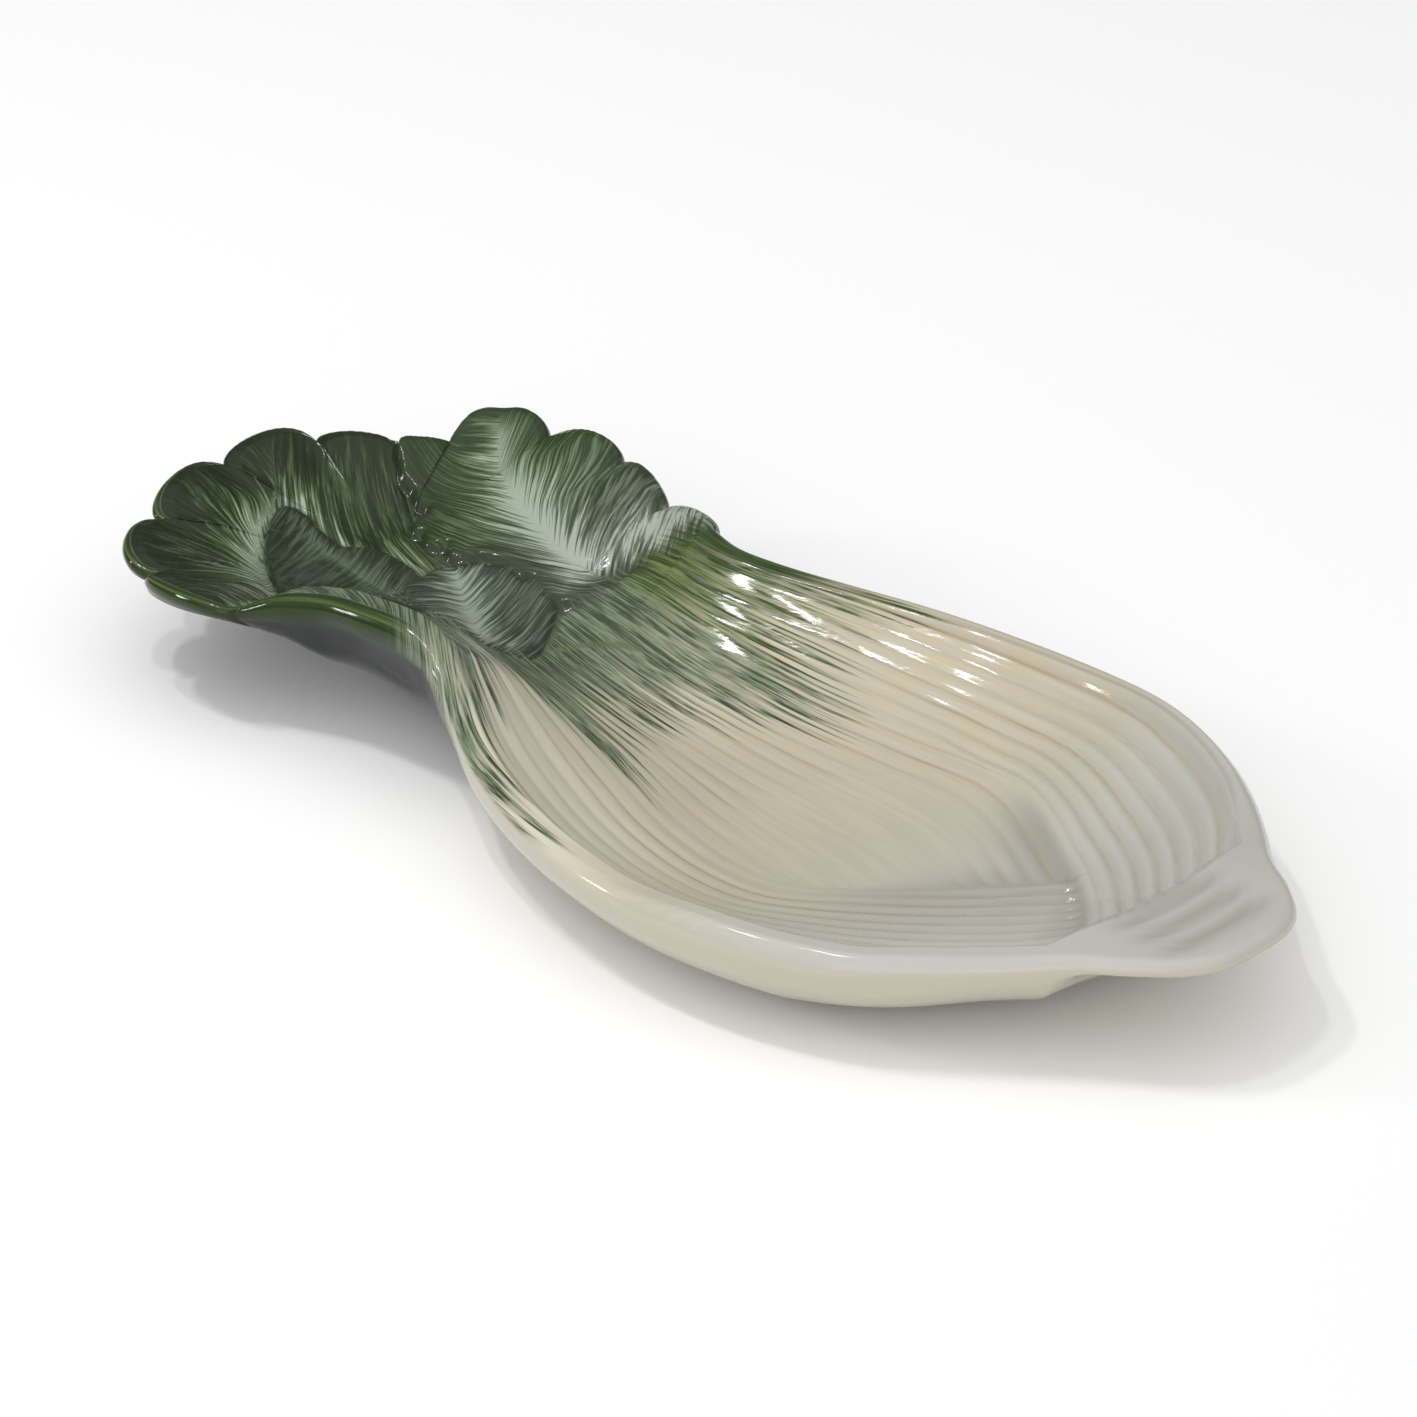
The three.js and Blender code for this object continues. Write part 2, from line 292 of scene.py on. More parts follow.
def wallsOf(side, loops, places):  # one wall for each column of one side, as arrays
    at = columnPlaces()
    around = at if side > 0 else 2 * halfRound() - at
    edge, nearEven, even = (follow(places, loop, around) for loop in loops)
    quarter = math.pi / 2 * columns["fanRadius"]
    footX = dish["spineRootEnd"] - np.clip(at - quarter, 0, dish["spineRootEnd"] - dish["spineLeafEnd"])
    inward = np.stack([footX - edge[:, 0], -edge[:, 1]], axis=1)
    reach = np.linalg.norm(inward, axis=1)
    evenReach = np.hypot(footX - even[:, 0], even[:, 1])
    leafy = leafShare(even[:, 0])
    edgeX, inFront = edge[:, 0], edge[:, 1] < 0
    lip = ease(edgeX, *passes["lipBegins"]) * (1 - ease(edgeX, *passes["lipEnds"])) * inFront
    radius = lerp(dish["bowlEdgeRadius"], dish["tabEdgeRadius"], ease(edgeX, *passes["tabEdge"]))
    radius = lerp(lerp(radius, dish["leafEdgeRadius"], leafy), dish["lipRadius"], lip)
    tabLength = np.maximum(0, rootBent(edgeX, edge[:, 1]) - dish["rootLine"])
    land = np.maximum(2 * radius, reach * tabLength / np.maximum(1, edgeX - footX))
    lifted = np.clip((even[:, 2] - dish["liftedHeight"]) / dish["liftedFade"], 0, 1)
    lifted = lifted * ease(edgeX, *passes["liftBegins"]) * inFront
    neck = ease(edgeX, *passes["neckBegins"]) * (1 - ease(edgeX, *passes["neckEnds"]))
    towardLeaves = 1 - ease(footX, dish["spineLeafEnd"], dish["leafFloorStart"])
    floor = dish["bowlFloor"] + dish["leafFloorRise"] * towardLeaves
    rootShare = ease(edgeX, *passes["rootWall"])
    widest = lerp(dish["bowlWallReach"], dish["rootWallReach"], rootShare)
    roundReach = np.minimum(widest, lerp(*dish["wallShares"], rootShare) * (reach - land))
    leafReach = lerp(dish["leafWallShare"], dish["liftedWallShare"], lifted) * reach
    return {
        "edge": edge,
        "edgeZ": edge[:, 2],
        "nearEvenZ": lerp(edge[:, 2], nearEven[:, 2], leafy),
        "evenZ": lerp(edge[:, 2], even[:, 2], leafy),
        "inward": inward / reach[:, None],
        "reach": reach,
        "evenReach": lerp(reach, evenReach, leafy),
        "land": land,
        "open": 1 - ease(even[:, 0], *passes["bowlCloses"]),
        "radius": radius,
        "floor": floor,
        "bottom": floor - dish["floorThickness"] + dish["neckLift"] * neck,
        "underReach": land - 2 * radius + dish["lipRecess"] * lip,
        "outerReach": lerp(roundReach, leafReach, np.maximum(leafy, lifted)),
        "slack": leafy * (1 - lifted),
        "hang": 1 + dish["rootHang"] * ease(edgeX, *passes["rootHang"]),
    }


def insideRise(share, openness):
    inBowl = np.minimum(share, 1)
    quarterRound = 1 - np.sqrt(np.maximum(0, 1 - inBowl**2))
    steep = lerp(inBowl**3, quarterRound, dish["bowlRoundness"])
    return lerp(steep, share ** dish["leafHollow"], openness)


def insideHeight(wall, share):  # share is 0 at the middle line and 1 where the rim begins
    lastShare = (wall["reach"] - wall["land"]) / (wall["evenReach"] - wall["land"])
    even = lerp(wall["floor"], wall["evenZ"], insideRise(share * lastShare, wall["open"]))
    evenTop = lerp(wall["floor"], wall["evenZ"], insideRise(lastShare, wall["open"]))
    broad, close = ease(share, dish["broadLiftFrom"], 1), ease(share, dish["closeLiftFrom"], 1)
    return even + (wall["nearEvenZ"] - evenTop) * broad + (wall["edgeZ"] - wall["nearEvenZ"]) * close


def placeAt(wall, inset):
    return wall["edge"][:, :2] + wall["inward"] * inset[:, None]


def row(wall, inset, height, zone, share):
    place = placeAt(wall, inset)
    zones, shares = np.full(height.shape, zone), np.full(height.shape, share)
    return {"x": place[:, 0], "y": place[:, 1], "z": height, "zone": zones, "rim": shares}


def insideRow(wall, share):
    inset = wall["reach"] - share * (wall["reach"] - wall["land"])
    return row(wall, inset, insideHeight(wall, share), 0.0, 1.0)


def rimRow(wall, degrees):
    turn = math.radians(degrees)
    inset = wall["radius"] * (1 - math.cos(turn))
    height = wall["edgeZ"] - wall["radius"] * (1 - math.sin(turn))
    return row(wall, inset, height, 1 - degrees / 90, math.sin(turn))


def landRow(wall, share):  # from the crest of the rim in to the foot of the inside wall
    inset = lerp(wall["radius"], wall["land"], share)
    return row(wall, inset, wall["edgeZ"], 0.0, 1.0)


def outsideRow(wall, degrees):
    turn = math.radians(degrees)
    under = min(1, degrees / dish["firstTurnUnder"]) * wall["underReach"]
    inset = under + wall["outerReach"] * (1 - math.cos(turn))
    top = wall["edgeZ"] - wall["radius"] - dish["tabTaper"] * under
    rounded = lerp(top, wall["bottom"], math.sin(turn) ** wall["hang"])
    share = (wall["reach"] - inset) / (wall["evenReach"] - wall["land"])
    share = np.clip(share, 0, dish["leafOverrun"])
    above = lerp(wall["floor"], wall["evenZ"], share ** dish["leafUnderHollow"])
    parallel = np.minimum(top, above - dish["leafThickness"])
    return row(wall, inset, lerp(rounded, parallel, wall["slack"]), 1 + degrees / 90, 0.0)


def underRow(wall, share):  # flat stretch under the floor, share 1 at the middle line
    outer = wall["underReach"] + wall["outerReach"]
    inset = lerp(outer, wall["reach"], share)
    last = outsideRow(wall, 90)["z"]
    return row(wall, inset, lerp(last, wall["bottom"], ease(share, 0, dish["underFlat"])), 2.0, 0.0)


def sideRows(wall):
    rows = [underRow(wall, share) for share in np.linspace(1, 0, dish["underRows"], endpoint=False)]
    rows += [outsideRow(wall, degrees) for degrees in reversed(dish["underTurns"])]
    rows += [rimRow(wall, degrees) for degrees in dish["rimTurns"]]
    rows += [landRow(wall, share) for share in np.linspace(0, 1, dish["landRows"] + 2)[1:-1]]
    rows += [insideRow(wall, share) for share in np.linspace(1, 0, dish["insideRows"])]
    return {key: np.stack([r[key] for r in rows]) for key in rows[0]}


# margins and midribs of the leaves, laid over each other in this order
leaves = {
    "wide": {
        "midrib": [
            [-80, -47], [-92.5, -37.6], [-100, -35], [-110.6, -30], [-120, -22], [-125, -14],
            [-131, -9], [-148, 0],
        ],
        "paleEnd": 54,
        "rise": 0,
        # in front of the midrib, veins start ahead along it and bend square to it
        "veinLead": 16,
        "veinLeadFade": 7,
        # behind the midrib, they fan out by y, turned by x and bent beyond a place on x
        "fanGap": 0.9,
        "fanTurn": 0.2,
        "fanBend": 0.0065,
        "fanBendStart": -88,
        "fanStart": -90,
    },
    "tongue": {
        "margin": [
            [-122.8, -13.4], [-121, -11], [-117, -10.2], [-113, -10.6], [-108, -10.8], [-104, -10],
            [-101.5, -7.5], [-98, -5.2], [-91, -4.6], [-85, -5], [-78, -8], [-70, -14], [-66, -22],
            [-72, -33], [-84, -42], [-94, -38.4], [-100, -35], [-108, -30], [-115, -24], [-121, -17],
        ],
        "midrib": [[-70, -20], [-84, -18], [-100, -16], [-120, -12]],
        "rise": 1.3,
        "veinsAcross": (0.83, 0.55),  # straight veins, counted along x and along y
        "veinStart": -160,
    },
    "tall": {
        "margin": [
            [-124.5, 21.5], [-121, 18], [-118, 16.6], [-114.5, 14.6], [-111, 14.4], [-107.5, 13],
            [-104, 13.2], [-103.2, 9.5], [-102.6, 7], [-99.5, 5.4], [-97.8, 6.6], [-94.5, 4.7],
            [-91, 5.4], [-90, 7.2], [-86, 4], [-82.5, 5.2], [-80, 9.5], [-70, 11.5], [-57, 11.5],
            [-53, 20], [-50, 29], [-48, 35], [-46, 41], [-43, 47], [-45, 60], [-80, 75], [-110, 72],
            [-140, 60], [-140, 30],
        ],
        "midrib": [
            [-38, 35], [-43, 31], [-50, 27], [-58, 23.5], [-67, 23], [-79, 25], [-87, 27], [-96, 31],
            [-104, 35], [-115, 45], [-121, 52],
        ],
        "rise": 1.6,
        # at the neck it sinks into the stalks
        "sinksAcross": (8, 22),
        "sinksAlong": (-68, -56),
        # behind the midrib, veins stand further apart and spread beyond a place along it
        "outerGap": 1.3,
        "spreadStart": 13,
        "spread": 0.06,
        # in front of it, they slant back, and less between these places along it
        "slant": 1.3,
        "slantFades": (40, 80),
        "innerStart": -0.5,
    },
    "small": {
        "margin": [
            [-81.5, 7.5], [-77, 10.5], [-73, 11.8], [-69, 11.4], [-65.5, 12.6], [-61, 11.6], [-58, 12],
            [-55, 9], [-51.5, 4], [-48.5, -1], [-46.5, -6], [-49, -11], [-56, -15], [-66, -18],
            [-76, -22], [-79.5, -21], [-80.5, -15], [-82, -8], [-84.4, -3], [-84.6, 2],
        ],
        "midrib": [[-44, -18], [-57, -11.2], [-70, -4.2], [-82, 3]],
        "rise": 1.2,
        "risesAlong": (5, 22),
        "risesAcross": (-20, -9),
        "slants": (-1.15, 0.15),  # of the veins behind and in front of the midrib
    },
}


def leafFlow(name, x, y):
    # across: a number that stays the same along a vein; away, along: places from and on the midrib
    leaf = leaves[name]
    away, along, side = nearestOn(smoothCurve(leaf["midrib"], stepsPerSpan=16), x, y)
    behind = side < 0
    if name == "wide":
        bent = along - leaf["veinLead"] * (1 - np.exp(-away / leaf["veinLeadFade"]))
        away = np.hypot(away, np.maximum(0, along - leaf["paleEnd"]))
        fanned = y + leaf["fanTurn"] * x - leaf["fanStart"]
        fanned = fanned - leaf["fanBend"] * np.maximum(0, leaf["fanBendStart"] - x) ** 2
        return np.where(behind, leaf["fanGap"] * fanned, bent), away, along
    if name == "tall":
        beyond = np.maximum(0, along - leaf["spreadStart"])
        outer = np.minimum(along, leaf["spreadStart"]) + beyond / (1 + leaf["spread"] * away)
        slant = leaf["slant"] * (1 - ease(along - away, *leaf["slantFades"]))
        inner = along - slant * away - leaf["innerStart"]
        return np.where(behind, leaf["outerGap"] * outer, inner), away, along
    if name == "small":
        return along + np.where(behind, *leaf["slants"]) * away, away, along
    acrossX, acrossY = leaf["veinsAcross"]
    return acrossX * x + acrossY * y - leaf["veinStart"], away, along


# four lines split the bowl into the back, middle and front stalk
stalks = {
    "backRim": [
        [-85, 40], [-60, 40], [-48, 40.5], [-33, 40], [-22, 43], [-9, 48.5], [9, 56.5], [28, 62],
        [53, 64.5], [77, 61], [97, 52], [108, 43.5], [118, 31], [125, 16], [128, 2], [129, -10],
    ],
    "backFold": [
        [-85, 24], [-60, 24], [-48, 24], [-25, 23.5], [0, 27], [30, 33], [50, 35.5], [60, 34],
        [72, 28.7], [82, 23], [90.5, 18], [100, 10.5], [112, -2.5], [123, -16], [130, -26],
    ],
    "frontFold": [
        [-85, -8], [-60, -12], [-48, -13], [-25, -13.5], [-10, -16], [3, -20], [20, -25], [40, -27],
        [55, -24], [66, -13.5], [74, -4], [82, 5.5], [89, 14], [97, 22], [112, 36], [130, 52],
    ],
    "frontRim": [
        [-85, -20], [-65, -22], [-50, -28], [-40, -35], [-25, -45], [-9, -54], [9, -59], [28, -62],
        [46, -63], [58, -60], [66, -55], [74, -47], [82, -38], [90, -29], [100, -18], [112, -6],
        [130, 12],
    ],
    "middleEnd": [
        [-85, -8], [-60, -12], [-48, -13], [-25, -13.5], [-10, -16], [3, -20], [20, -25], [40, -29],
        [60, -33], [80, -38], [100, -46], [125, -58],
    ],
    "ribs": {"back": 8, "middle": 12, "front": 8},
    "rimRibWidths": (4.5, 3.6),  # past the back rim and past the front rim
    "backNarrows": (30, 50),
    "backLoses": 0.5,  # of a rib, where it narrows
    "leastWidth": 0.5,
    # the points of both fold lines between which a stalk stands above the next
    "backFoldStands": (6, 15),
    "frontFoldStands": (7, 13),
    "bareSpot": [49, -1, 24],  # x, y, radius
    "bareSpotFades": (-4, 10),
}


def stalkPhase(x, y):  # counts the ribs from the back rim to the front rim
    names = ("backRim", "backFold", "frontFold", "frontRim", "middleEnd")
    backRim, backFold, frontFold, frontRim, middleEnd = (lineHeight(stalks[name], x) for name in names)
    back, middle, front = stalks["ribs"].values()
    backRimWidth, frontRimWidth = stalks["rimRibWidths"]
    least = stalks["leastWidth"]
    backCount = back - stalks["backLoses"] * ease(x, *stalks["backNarrows"])
    onBack = backCount * np.clip((backRim - y) / np.maximum(least, backRim - backFold), 0, 1)
    onBack = onBack + np.where(y > backRim, (backRim - y) / backRimWidth, 0)
    onMiddle = back + middle * np.clip((backFold - y) / np.maximum(least, backFold - middleEnd), 0, 1)
    onFront = back + middle + front * (frontFold - y) / np.maximum(least, frontFold - frontRim)
    pastRim = back + middle + front + (frontRim - y) / frontRimWidth
    onFront = np.where(y < frontRim, pastRim, onFront)
    phase = np.where(y < frontFold, onFront, onMiddle)
    return np.where(y > backFold, onBack, phase)


ribShape = {
    # mm near the leaves, how much more towards the root, and the stretch of x where it grows
    "backStep": (0, 1.8, 44, 76),
    "frontStep": (0, 1.2, 48, 70),
    "middleDepth": (0.22, 0.6, 50, 76),
    "frontDepth": (0.3, 0.8, 50, 80),
    "backDepth": (0.3, 1.1, 5, 75),
    "stepsFade": (98, 126),
    "leafSharpness": 1.2,
    "crispSharpness": 0.85,
    "narrowFrom": (-12, 26),
    "rootEnd": (116, 128),
    # clear of ribs beside the fold of the front stalk and of the back stalk, and clear of their ochre
    "foldWidths": (1.8, 2.4),
    "foldsFrom": (44, 60),
    "plainFoldWidths": (1.1, 2),
    "plainFoldsFrom": (46, 56),
    # mm past the fold over which one stalk passes into the next
    "backEdge": (-2.2, 2),
    "frontEdge": (-1.2, 1.2),
    "plainEdge": (-0.5, 1.5),
    "firstRib": (-0.3, 0.6),
    "lastRib": (27.2, 28.2),
}


def crease(phase, sharpness):  # 1 in the crease between two ribs, 0 on the crown of a rib
    return 1 - np.abs(np.sin(math.pi * phase)) ** sharpness


def bell(value, width):
    return np.exp(-((value / width) ** 2))


# relief of the inside, in mm
relief = {
    "lobeValleys": [
        [[-59.6, 45.5], [-57, 38], [-54, 33]],
        [[-81, 51.5], [-78, 43], [-71, 34]],
        [[-101.6, 48.4], [-98, 42], [-90, 34]],
        [[-118.6, 33.6], [-112, 31], [-103, 31]],
        [[-137, 7.5], [-126, 3], [-112, -1]],
        [[-138.5, -17.5], [-130, -16], [-122, -14]],
        [[-129, -41.5], [-121, -37], [-111, -33]],
        [[-113, -56], [-108, -49], [-101, -42]],
        [[-83, -57], [-87, -50], [-91, -42]],
    ],
    "valleyDepth": 1.1,
    "valleyWidth": 5.5,
    "valleyFades": (3, 22),
    "veinDepth": 0.06,
    "veinGap": 2.5,
    # waves that make veins wander: size, length across them, length along them
    "veinWaves": [[0.99, 4.3, 11], [0.66, 1.9, -17]],
    "midribDepth": 0.9,
    "midribWidths": (4.5, 3.5),  # of the wide leaf and of the leaves over it
    "veinsFrom": (2, 7),
    # a leaf's rolled margin and the dip beside it: share of its rise, mm inside the margin, width
    "marginRoll": (0.3, 2.2, 2),
    "marginDip": (0.35, -0.8, 1),
    "marginStep": (-1.2, 1.4),
    "coverEdge": (-1, 1),
    "stalksFrom": (-60, -35),
    "leavesEnd": (-62, -45),
    "tabPlain": (119, 126),
    "tabMiddle": 1,
    "tabRings": [128, 134, 140],
    "tabRingWidth": 1.7,
    "tabRingBend": 0.004,
    "tabRingFades": (8, 19),
    "tabDepth": 0.9,
    "oliveLines": [
        [[-57, 11.5], [-52.8, 7], [-50.3, 2.6], [-46.3, -5]],
        [[-47.6, 2.6], [-45.8, 6], [-43.5, 8.8], [-38.5, 12.3], [-33.7, 14.3]],
    ],
}


def veins(across, away):
    wander = sum(size * np.sin(across / wide + away / long) for size, wide, long in relief["veinWaves"])
    return np.sin(2 * math.pi * across / relief["veinGap"] + wander)


def grown(x, name):  # a depth or a step that grows along the dish
    small, more, start, end = ribShape[name]
    return small + more * ease(x, start, end)


def foldGaps(x, y):  # distance from the edge of the back stalk and from the edge of the front stalk
    gaps = []
    for name in ("backFold", "frontFold"):
        first, last = stalks[name + "Stands"]
        gaps.append(nearestOn(smoothCurve(stalks[name][first:last], stepsPerSpan=6), x, y))
    return gaps


def stalkRelief(x, y, phase, folds):
    (backGap, _, backSide), (frontGap, _, frontSide) = folds
    onBack = ease(backGap * backSide, *ribShape["backEdge"])
    onFront = ease(-frontGap * frontSide, *ribShape["frontEdge"]) * (1 - onBack)
    steps = grown(x, "backStep") * onBack + grown(x, "frontStep") * onFront
    steps = steps * (1 - ease(rootBent(x, y), *ribShape["stepsFade"]))
    frontFold, backFold = ribShape["foldWidths"]
    clear = np.maximum(bell(frontGap, frontFold) * (backSide < 0), bell(backGap, backFold))
    depth = lerp(grown(x, "middleDepth"), grown(x, "frontDepth"), onFront)
    depth = lerp(depth, grown(x, "backDepth"), onBack) * (1 - clear * ease(x, *ribShape["foldsFrom"]))
    depth = depth * (1 - bareSpot(x, y)) * ribbed(phase)
    narrow = crease(phase, lerp(ribShape["crispSharpness"], ribShape["leafSharpness"], onFront))
    creases = lerp(crease(phase / 2, ribShape["leafSharpness"]), narrow, ease(x, *ribShape["narrowFrom"]))
    return steps - depth * creases * (1 - ease(rootBent(x, y), *ribShape["rootEnd"]))


def bareSpot(x, y):  # 1 on the round spot of plain glaze
    spotX, spotY, spotRadius = stalks["bareSpot"]
    return 1 - ease(np.hypot(x - spotX, y - spotY) - spotRadius, *stalks["bareSpotFades"])


def ribbed(phase):  # 1 between the first and the last rib, 0 on the rims
    return ease(phase, *ribShape["firstRib"]) * (1 - ease(phase, *ribShape["lastRib"]))


def leafRise(name, x, y, along):  # how far a leaf stands above what it covers
    leaf = leaves[name]
    if name == "tall":
        return leaf["rise"] * (1 - ease(y, *leaf["sinksAcross"]) * ease(x, *leaf["sinksAlong"]))
    if name == "small":
        return leaf["rise"] * ease(along, *leaf["risesAlong"]) * ease(y, *leaf["risesAcross"])
    return leaf["rise"]


def insideRelief(x, y):
    z = np.zeros(x.shape)
    phase = stalkPhase(x, y)
    z += stalkRelief(x, y, phase, foldGaps(x, y)) * ease(x, *relief["stalksFrom"])
    for valley in relief["lobeValleys"]:
        gap, along, _ = nearestOn(smoothCurve(valley, stepsPerSpan=5), x, y)
        shallow = 1 - ease(along, *relief["valleyFades"])
        z -= relief["valleyDepth"] * bell(gap, relief["valleyWidth"]) * shallow
    onLeaves = 1 - ease(x, *relief["leavesEnd"])
    flows = {name: leafFlow(name, x, y) for name in leaves}
    covers = {name: marginDistance(leaves[name]["margin"], x, y) for name in ("tongue", "tall", "small")}
    across, away, _ = flows["wide"]
    wideMidrib, otherMidrib = relief["midribWidths"]
    rollSize, rollPlace, rollWidth = relief["marginRoll"]
    dipSize, dipPlace, dipWidth = relief["marginDip"]
    surface = relief["veinDepth"] * veins(across, away) - relief["midribDepth"] * bell(away, wideMidrib)
    for name, inside in covers.items():
        across, away, along = flows[name]
        rise = leafRise(name, x, y, along)
        own = relief["veinDepth"] * veins(across, away) * ease(away, *relief["veinsFrom"])
        own -= relief["midribDepth"] * bell(away, otherMidrib)
        roll = rollSize * rise * bell(inside - rollPlace, rollWidth)
        dip = dipSize * rise * bell(inside - dipPlace, dipWidth)
        surface = lerp(surface - dip, own + roll + rise, ease(inside, *relief["marginStep"]))
    cover = np.maximum(covers["tall"], covers["small"])
    z += surface * np.maximum(onLeaves, ease(cover, *relief["coverEdge"]))
    return z - relief["tabDepth"] * tabGrooves(x, y), phase, flows, covers


def plainShare(x, y, phase):  # 1 where the stalks have no ribs: on the rim, the root tab and the bare spot
    onTab = ease(rootBent(x, y), *relief["tabPlain"])
    return np.maximum(bareSpot(x, y), np.maximum(1 - ribbed(phase), onTab))


# where grey shade is painted: below the folds at the root end and in the grooves of the root tab
paintedShades = {
    "backWidth": 11,
    "backFrom": (52, 74),
    "frontShare": 0.75,
    "frontLoss": 0.6,
    "frontReach": 30,
    "frontFrom": (54, 76),
    "besideShare": 0.7,
    "besideWidth": 9,
    "besideFrom": (60, 78),
    "lastRib": (26, 27.6),
    "rootEnd": (112, 122),
    "backEdge": (-0.8, 1.8),
    "tabShare": 0.9,
}


def foldShade(x, y, phase, folds):  # 1 where grey shade is painted below the folds at the root end
    (backGap, _, backSide), (frontGap, _, frontSide) = folds
    below = ease(-backGap * backSide, *paintedShades["backEdge"])
    onFront = ease(-frontGap * frontSide, *ribShape["frontEdge"])
    back = bell(backGap, paintedShades["backWidth"]) * ease(x, *paintedShades["backFrom"])
    front = paintedShades["frontShare"] - paintedShades["frontLoss"] * ease(frontGap, 0, paintedShades["frontReach"])
    front = front * onFront * ease(x, *paintedShades["frontFrom"])
    beside = paintedShades["besideShare"] * bell(frontGap, paintedShades["besideWidth"]) * (1 - onFront)
    beside = beside * ease(x, *paintedShades["besideFrom"])
    inBowl = (1 - ease(phase, *paintedShades["lastRib"])) * (1 - ease(rootBent(x, y), *paintedShades["rootEnd"]))
    return inBowl * below * np.clip(np.maximum(np.maximum(back, front), beside), 0, 1)


def tabGrooves(x, y):  # 1 in the three curved grooves across the root tab
    bent = x + relief["tabRingBend"] * y**2
    rings = sum(bell(bent - ring, relief["tabRingWidth"]) for ring in relief["tabRings"])
    return rings * (1 - ease(np.abs(y - relief["tabMiddle"]), *relief["tabRingFades"]))


def footRelief(x, y):  # the ring that the dish stands on, as a drop below the underside
    px, py = (x - dish["footCentre"]) / dish["footHalfLength"], y / dish["footHalfWidth"]
    outer = (1 - np.hypot(px, py)) * dish["footHalfWidth"]
    inner = dish["footRingWidth"] - outer
    return ease(outer, *dish["footRound"]) * ease(inner, *dish["footRound"])


greenEnds = [  # how far along the stalks the green paint runs: [rib count, x]
    [-3, 2], [-1, 10], [0, 8], [1, 4], [2, -3], [4, -4], [6, -3], [7.3, 3], [8.7, 8], [10, 7],
    [11.5, -6], [13, -12], [15, -18], [17, -21], [18.8, -14], [19.6, 0], [20.3, 4], [20.9, -14],
    [22, -40], [23.5, -43], [25, -34], [26.6, -14], [27.6, 2], [28.3, 20], [29.5, 8], [32, -8],
]


def buildSurface():
    loop = evenLoop(wholeEdge())
    loops = [loop, softened(loop, columns["closeSoftening"]), softened(loop, columns["softening"])]
    places = stadiumPlace(loops[2])
    sides = [sideRows(wallsOf(side, loops, places)) for side in (1, -1)]
    sheet = {key: np.stack([s[key] for s in sides]) for key in sides[0]}
    x, y, z, zone, rim = (sheet[key] for key in ("x", "y", "z", "zone", "rim"))
    print("inside relief")
    bump, phase, flows, covers = insideRelief(x, y)
    z = z + bump * rim * np.maximum(0, 1 - zone)
    under = (zone >= 1) & (z < dish["footReach"])
    foot = footRelief(x, y) * under
    z = lerp(z, np.minimum(z, 0), foot)
    edgeGap = nearestOn(loop[::3, :2], x, y)[0]  # every third point is close enough
    oliveLines = [smoothCurve(line, stepsPerSpan=6) for line in relief["oliveLines"]]
    oliveGap = np.minimum(*(nearestOn(line, x, y)[0] for line in oliveLines))
    folds = foldGaps(x, y)
    (backGap, _, backSide), (frontGap, _, _) = folds
    frontFold, backFold = ribShape["plainFoldWidths"]
    belowBack = ease(-backGap * backSide, *ribShape["plainEdge"])
    onFold = np.maximum(bell(frontGap, frontFold) * belowBack, bell(backGap, backFold))
    onFold = onFold * ease(x, *ribShape["plainFoldsFrom"])
    plain = np.maximum(plainShare(x, y, phase), onFold)
    # painted shade below the folds and in the grooves of the root tab
    paintedShade = np.maximum(foldShade(x, y, phase, folds), paintedShades["tabShare"] * tabGrooves(x, y))
    fields = {
        "place": (x, y, z),
        "surfaceZone": (zone, foot, oliveGap),
        "plainAndShade": (plain, paintedShade, 0 * x),
        "stalk": (phase, x - np.interp(phase, *np.array(greenEnds).T), edgeGap),
        "covers": tuple(covers[name] for name in ("tall", "small", "tongue")),
    }
    for name, flow in flows.items():
        fields["leaf" + name.title()] = flow
    return np.stack([x, y, z], axis=-1), fields


def buildFaces(shape):  # quads between rows and columns of both sides
    sides, rows, cols = shape
    index = np.arange(sides * rows * cols).reshape(shape)
    back, front = index
    a, b, c, d = back[:-1, :-1], back[:-1, 1:], back[1:, 1:], back[1:, :-1]
    e, f, g, h = front[:-1, :-1], front[1:, :-1], front[1:, 1:], front[:-1, 1:]
    return np.vstack([np.stack([q.ravel() for q in quad], axis=1) for quad in ((a, b, c, d), (e, f, g, h))])


weldsPerMm = 500  # points that round to the same step of 1/500 mm become one


def weld(points, faces):
    keys = np.round(points * weldsPerMm).astype(np.int64)
    _, first, same = np.unique(keys, axis=0, return_index=True, return_inverse=True)
    joined = same.reshape(-1)[faces]
    kept = []
    for face in joined.tolist():
        corners = [v for i, v in enumerate(face) if v != face[i - 1]]
        if len(set(corners)) == len(corners) and len(corners) > 2:
            kept.append(corners)
    return first, kept


def makeDish():
    points, fields = buildSurface()
    shape = points.shape[:3]
    flat = points.reshape(-1, 3)
    first, faces = weld(flat, buildFaces(shape))
    low, high = flat.min(axis=0), flat.max(axis=0)
    cadLow, cadHigh = np.array(cadBox[0]), np.array(cadBox[1])
    shift = np.array([*(cadLow + cadHigh)[:2] / 2 - (low + high)[:2] / 2 * mm, 0])
    mesh = bpy.data.meshes.new("bokChoyDish")
    mesh.from_pydata((flat[first] * mm + shift).tolist(), [], faces)
    mesh.shade_smooth()
    for name, parts in fields.items():
        values = np.stack([part.reshape(-1)[first] for part in parts], axis=1)
        attribute = mesh.attributes.new(name, "FLOAT_VECTOR", "POINT")
        attribute.data.foreach_set("vector", values.astype(np.float32).ravel())
    made = bpy.data.objects.new("bokChoyDish", mesh)
    bpy.context.scene.collection.objects.link(made)
    print("dish mesh:", len(mesh.vertices), "points,", sum(len(f) - 2 for f in faces), "triangles")
    return made


def give(tree, socket, value):  # a link from another node, or a plain value
    if isinstance(value, bpy.types.NodeSocket):
        tree.links.new(value, socket)
    else:
        socket.default_value = value


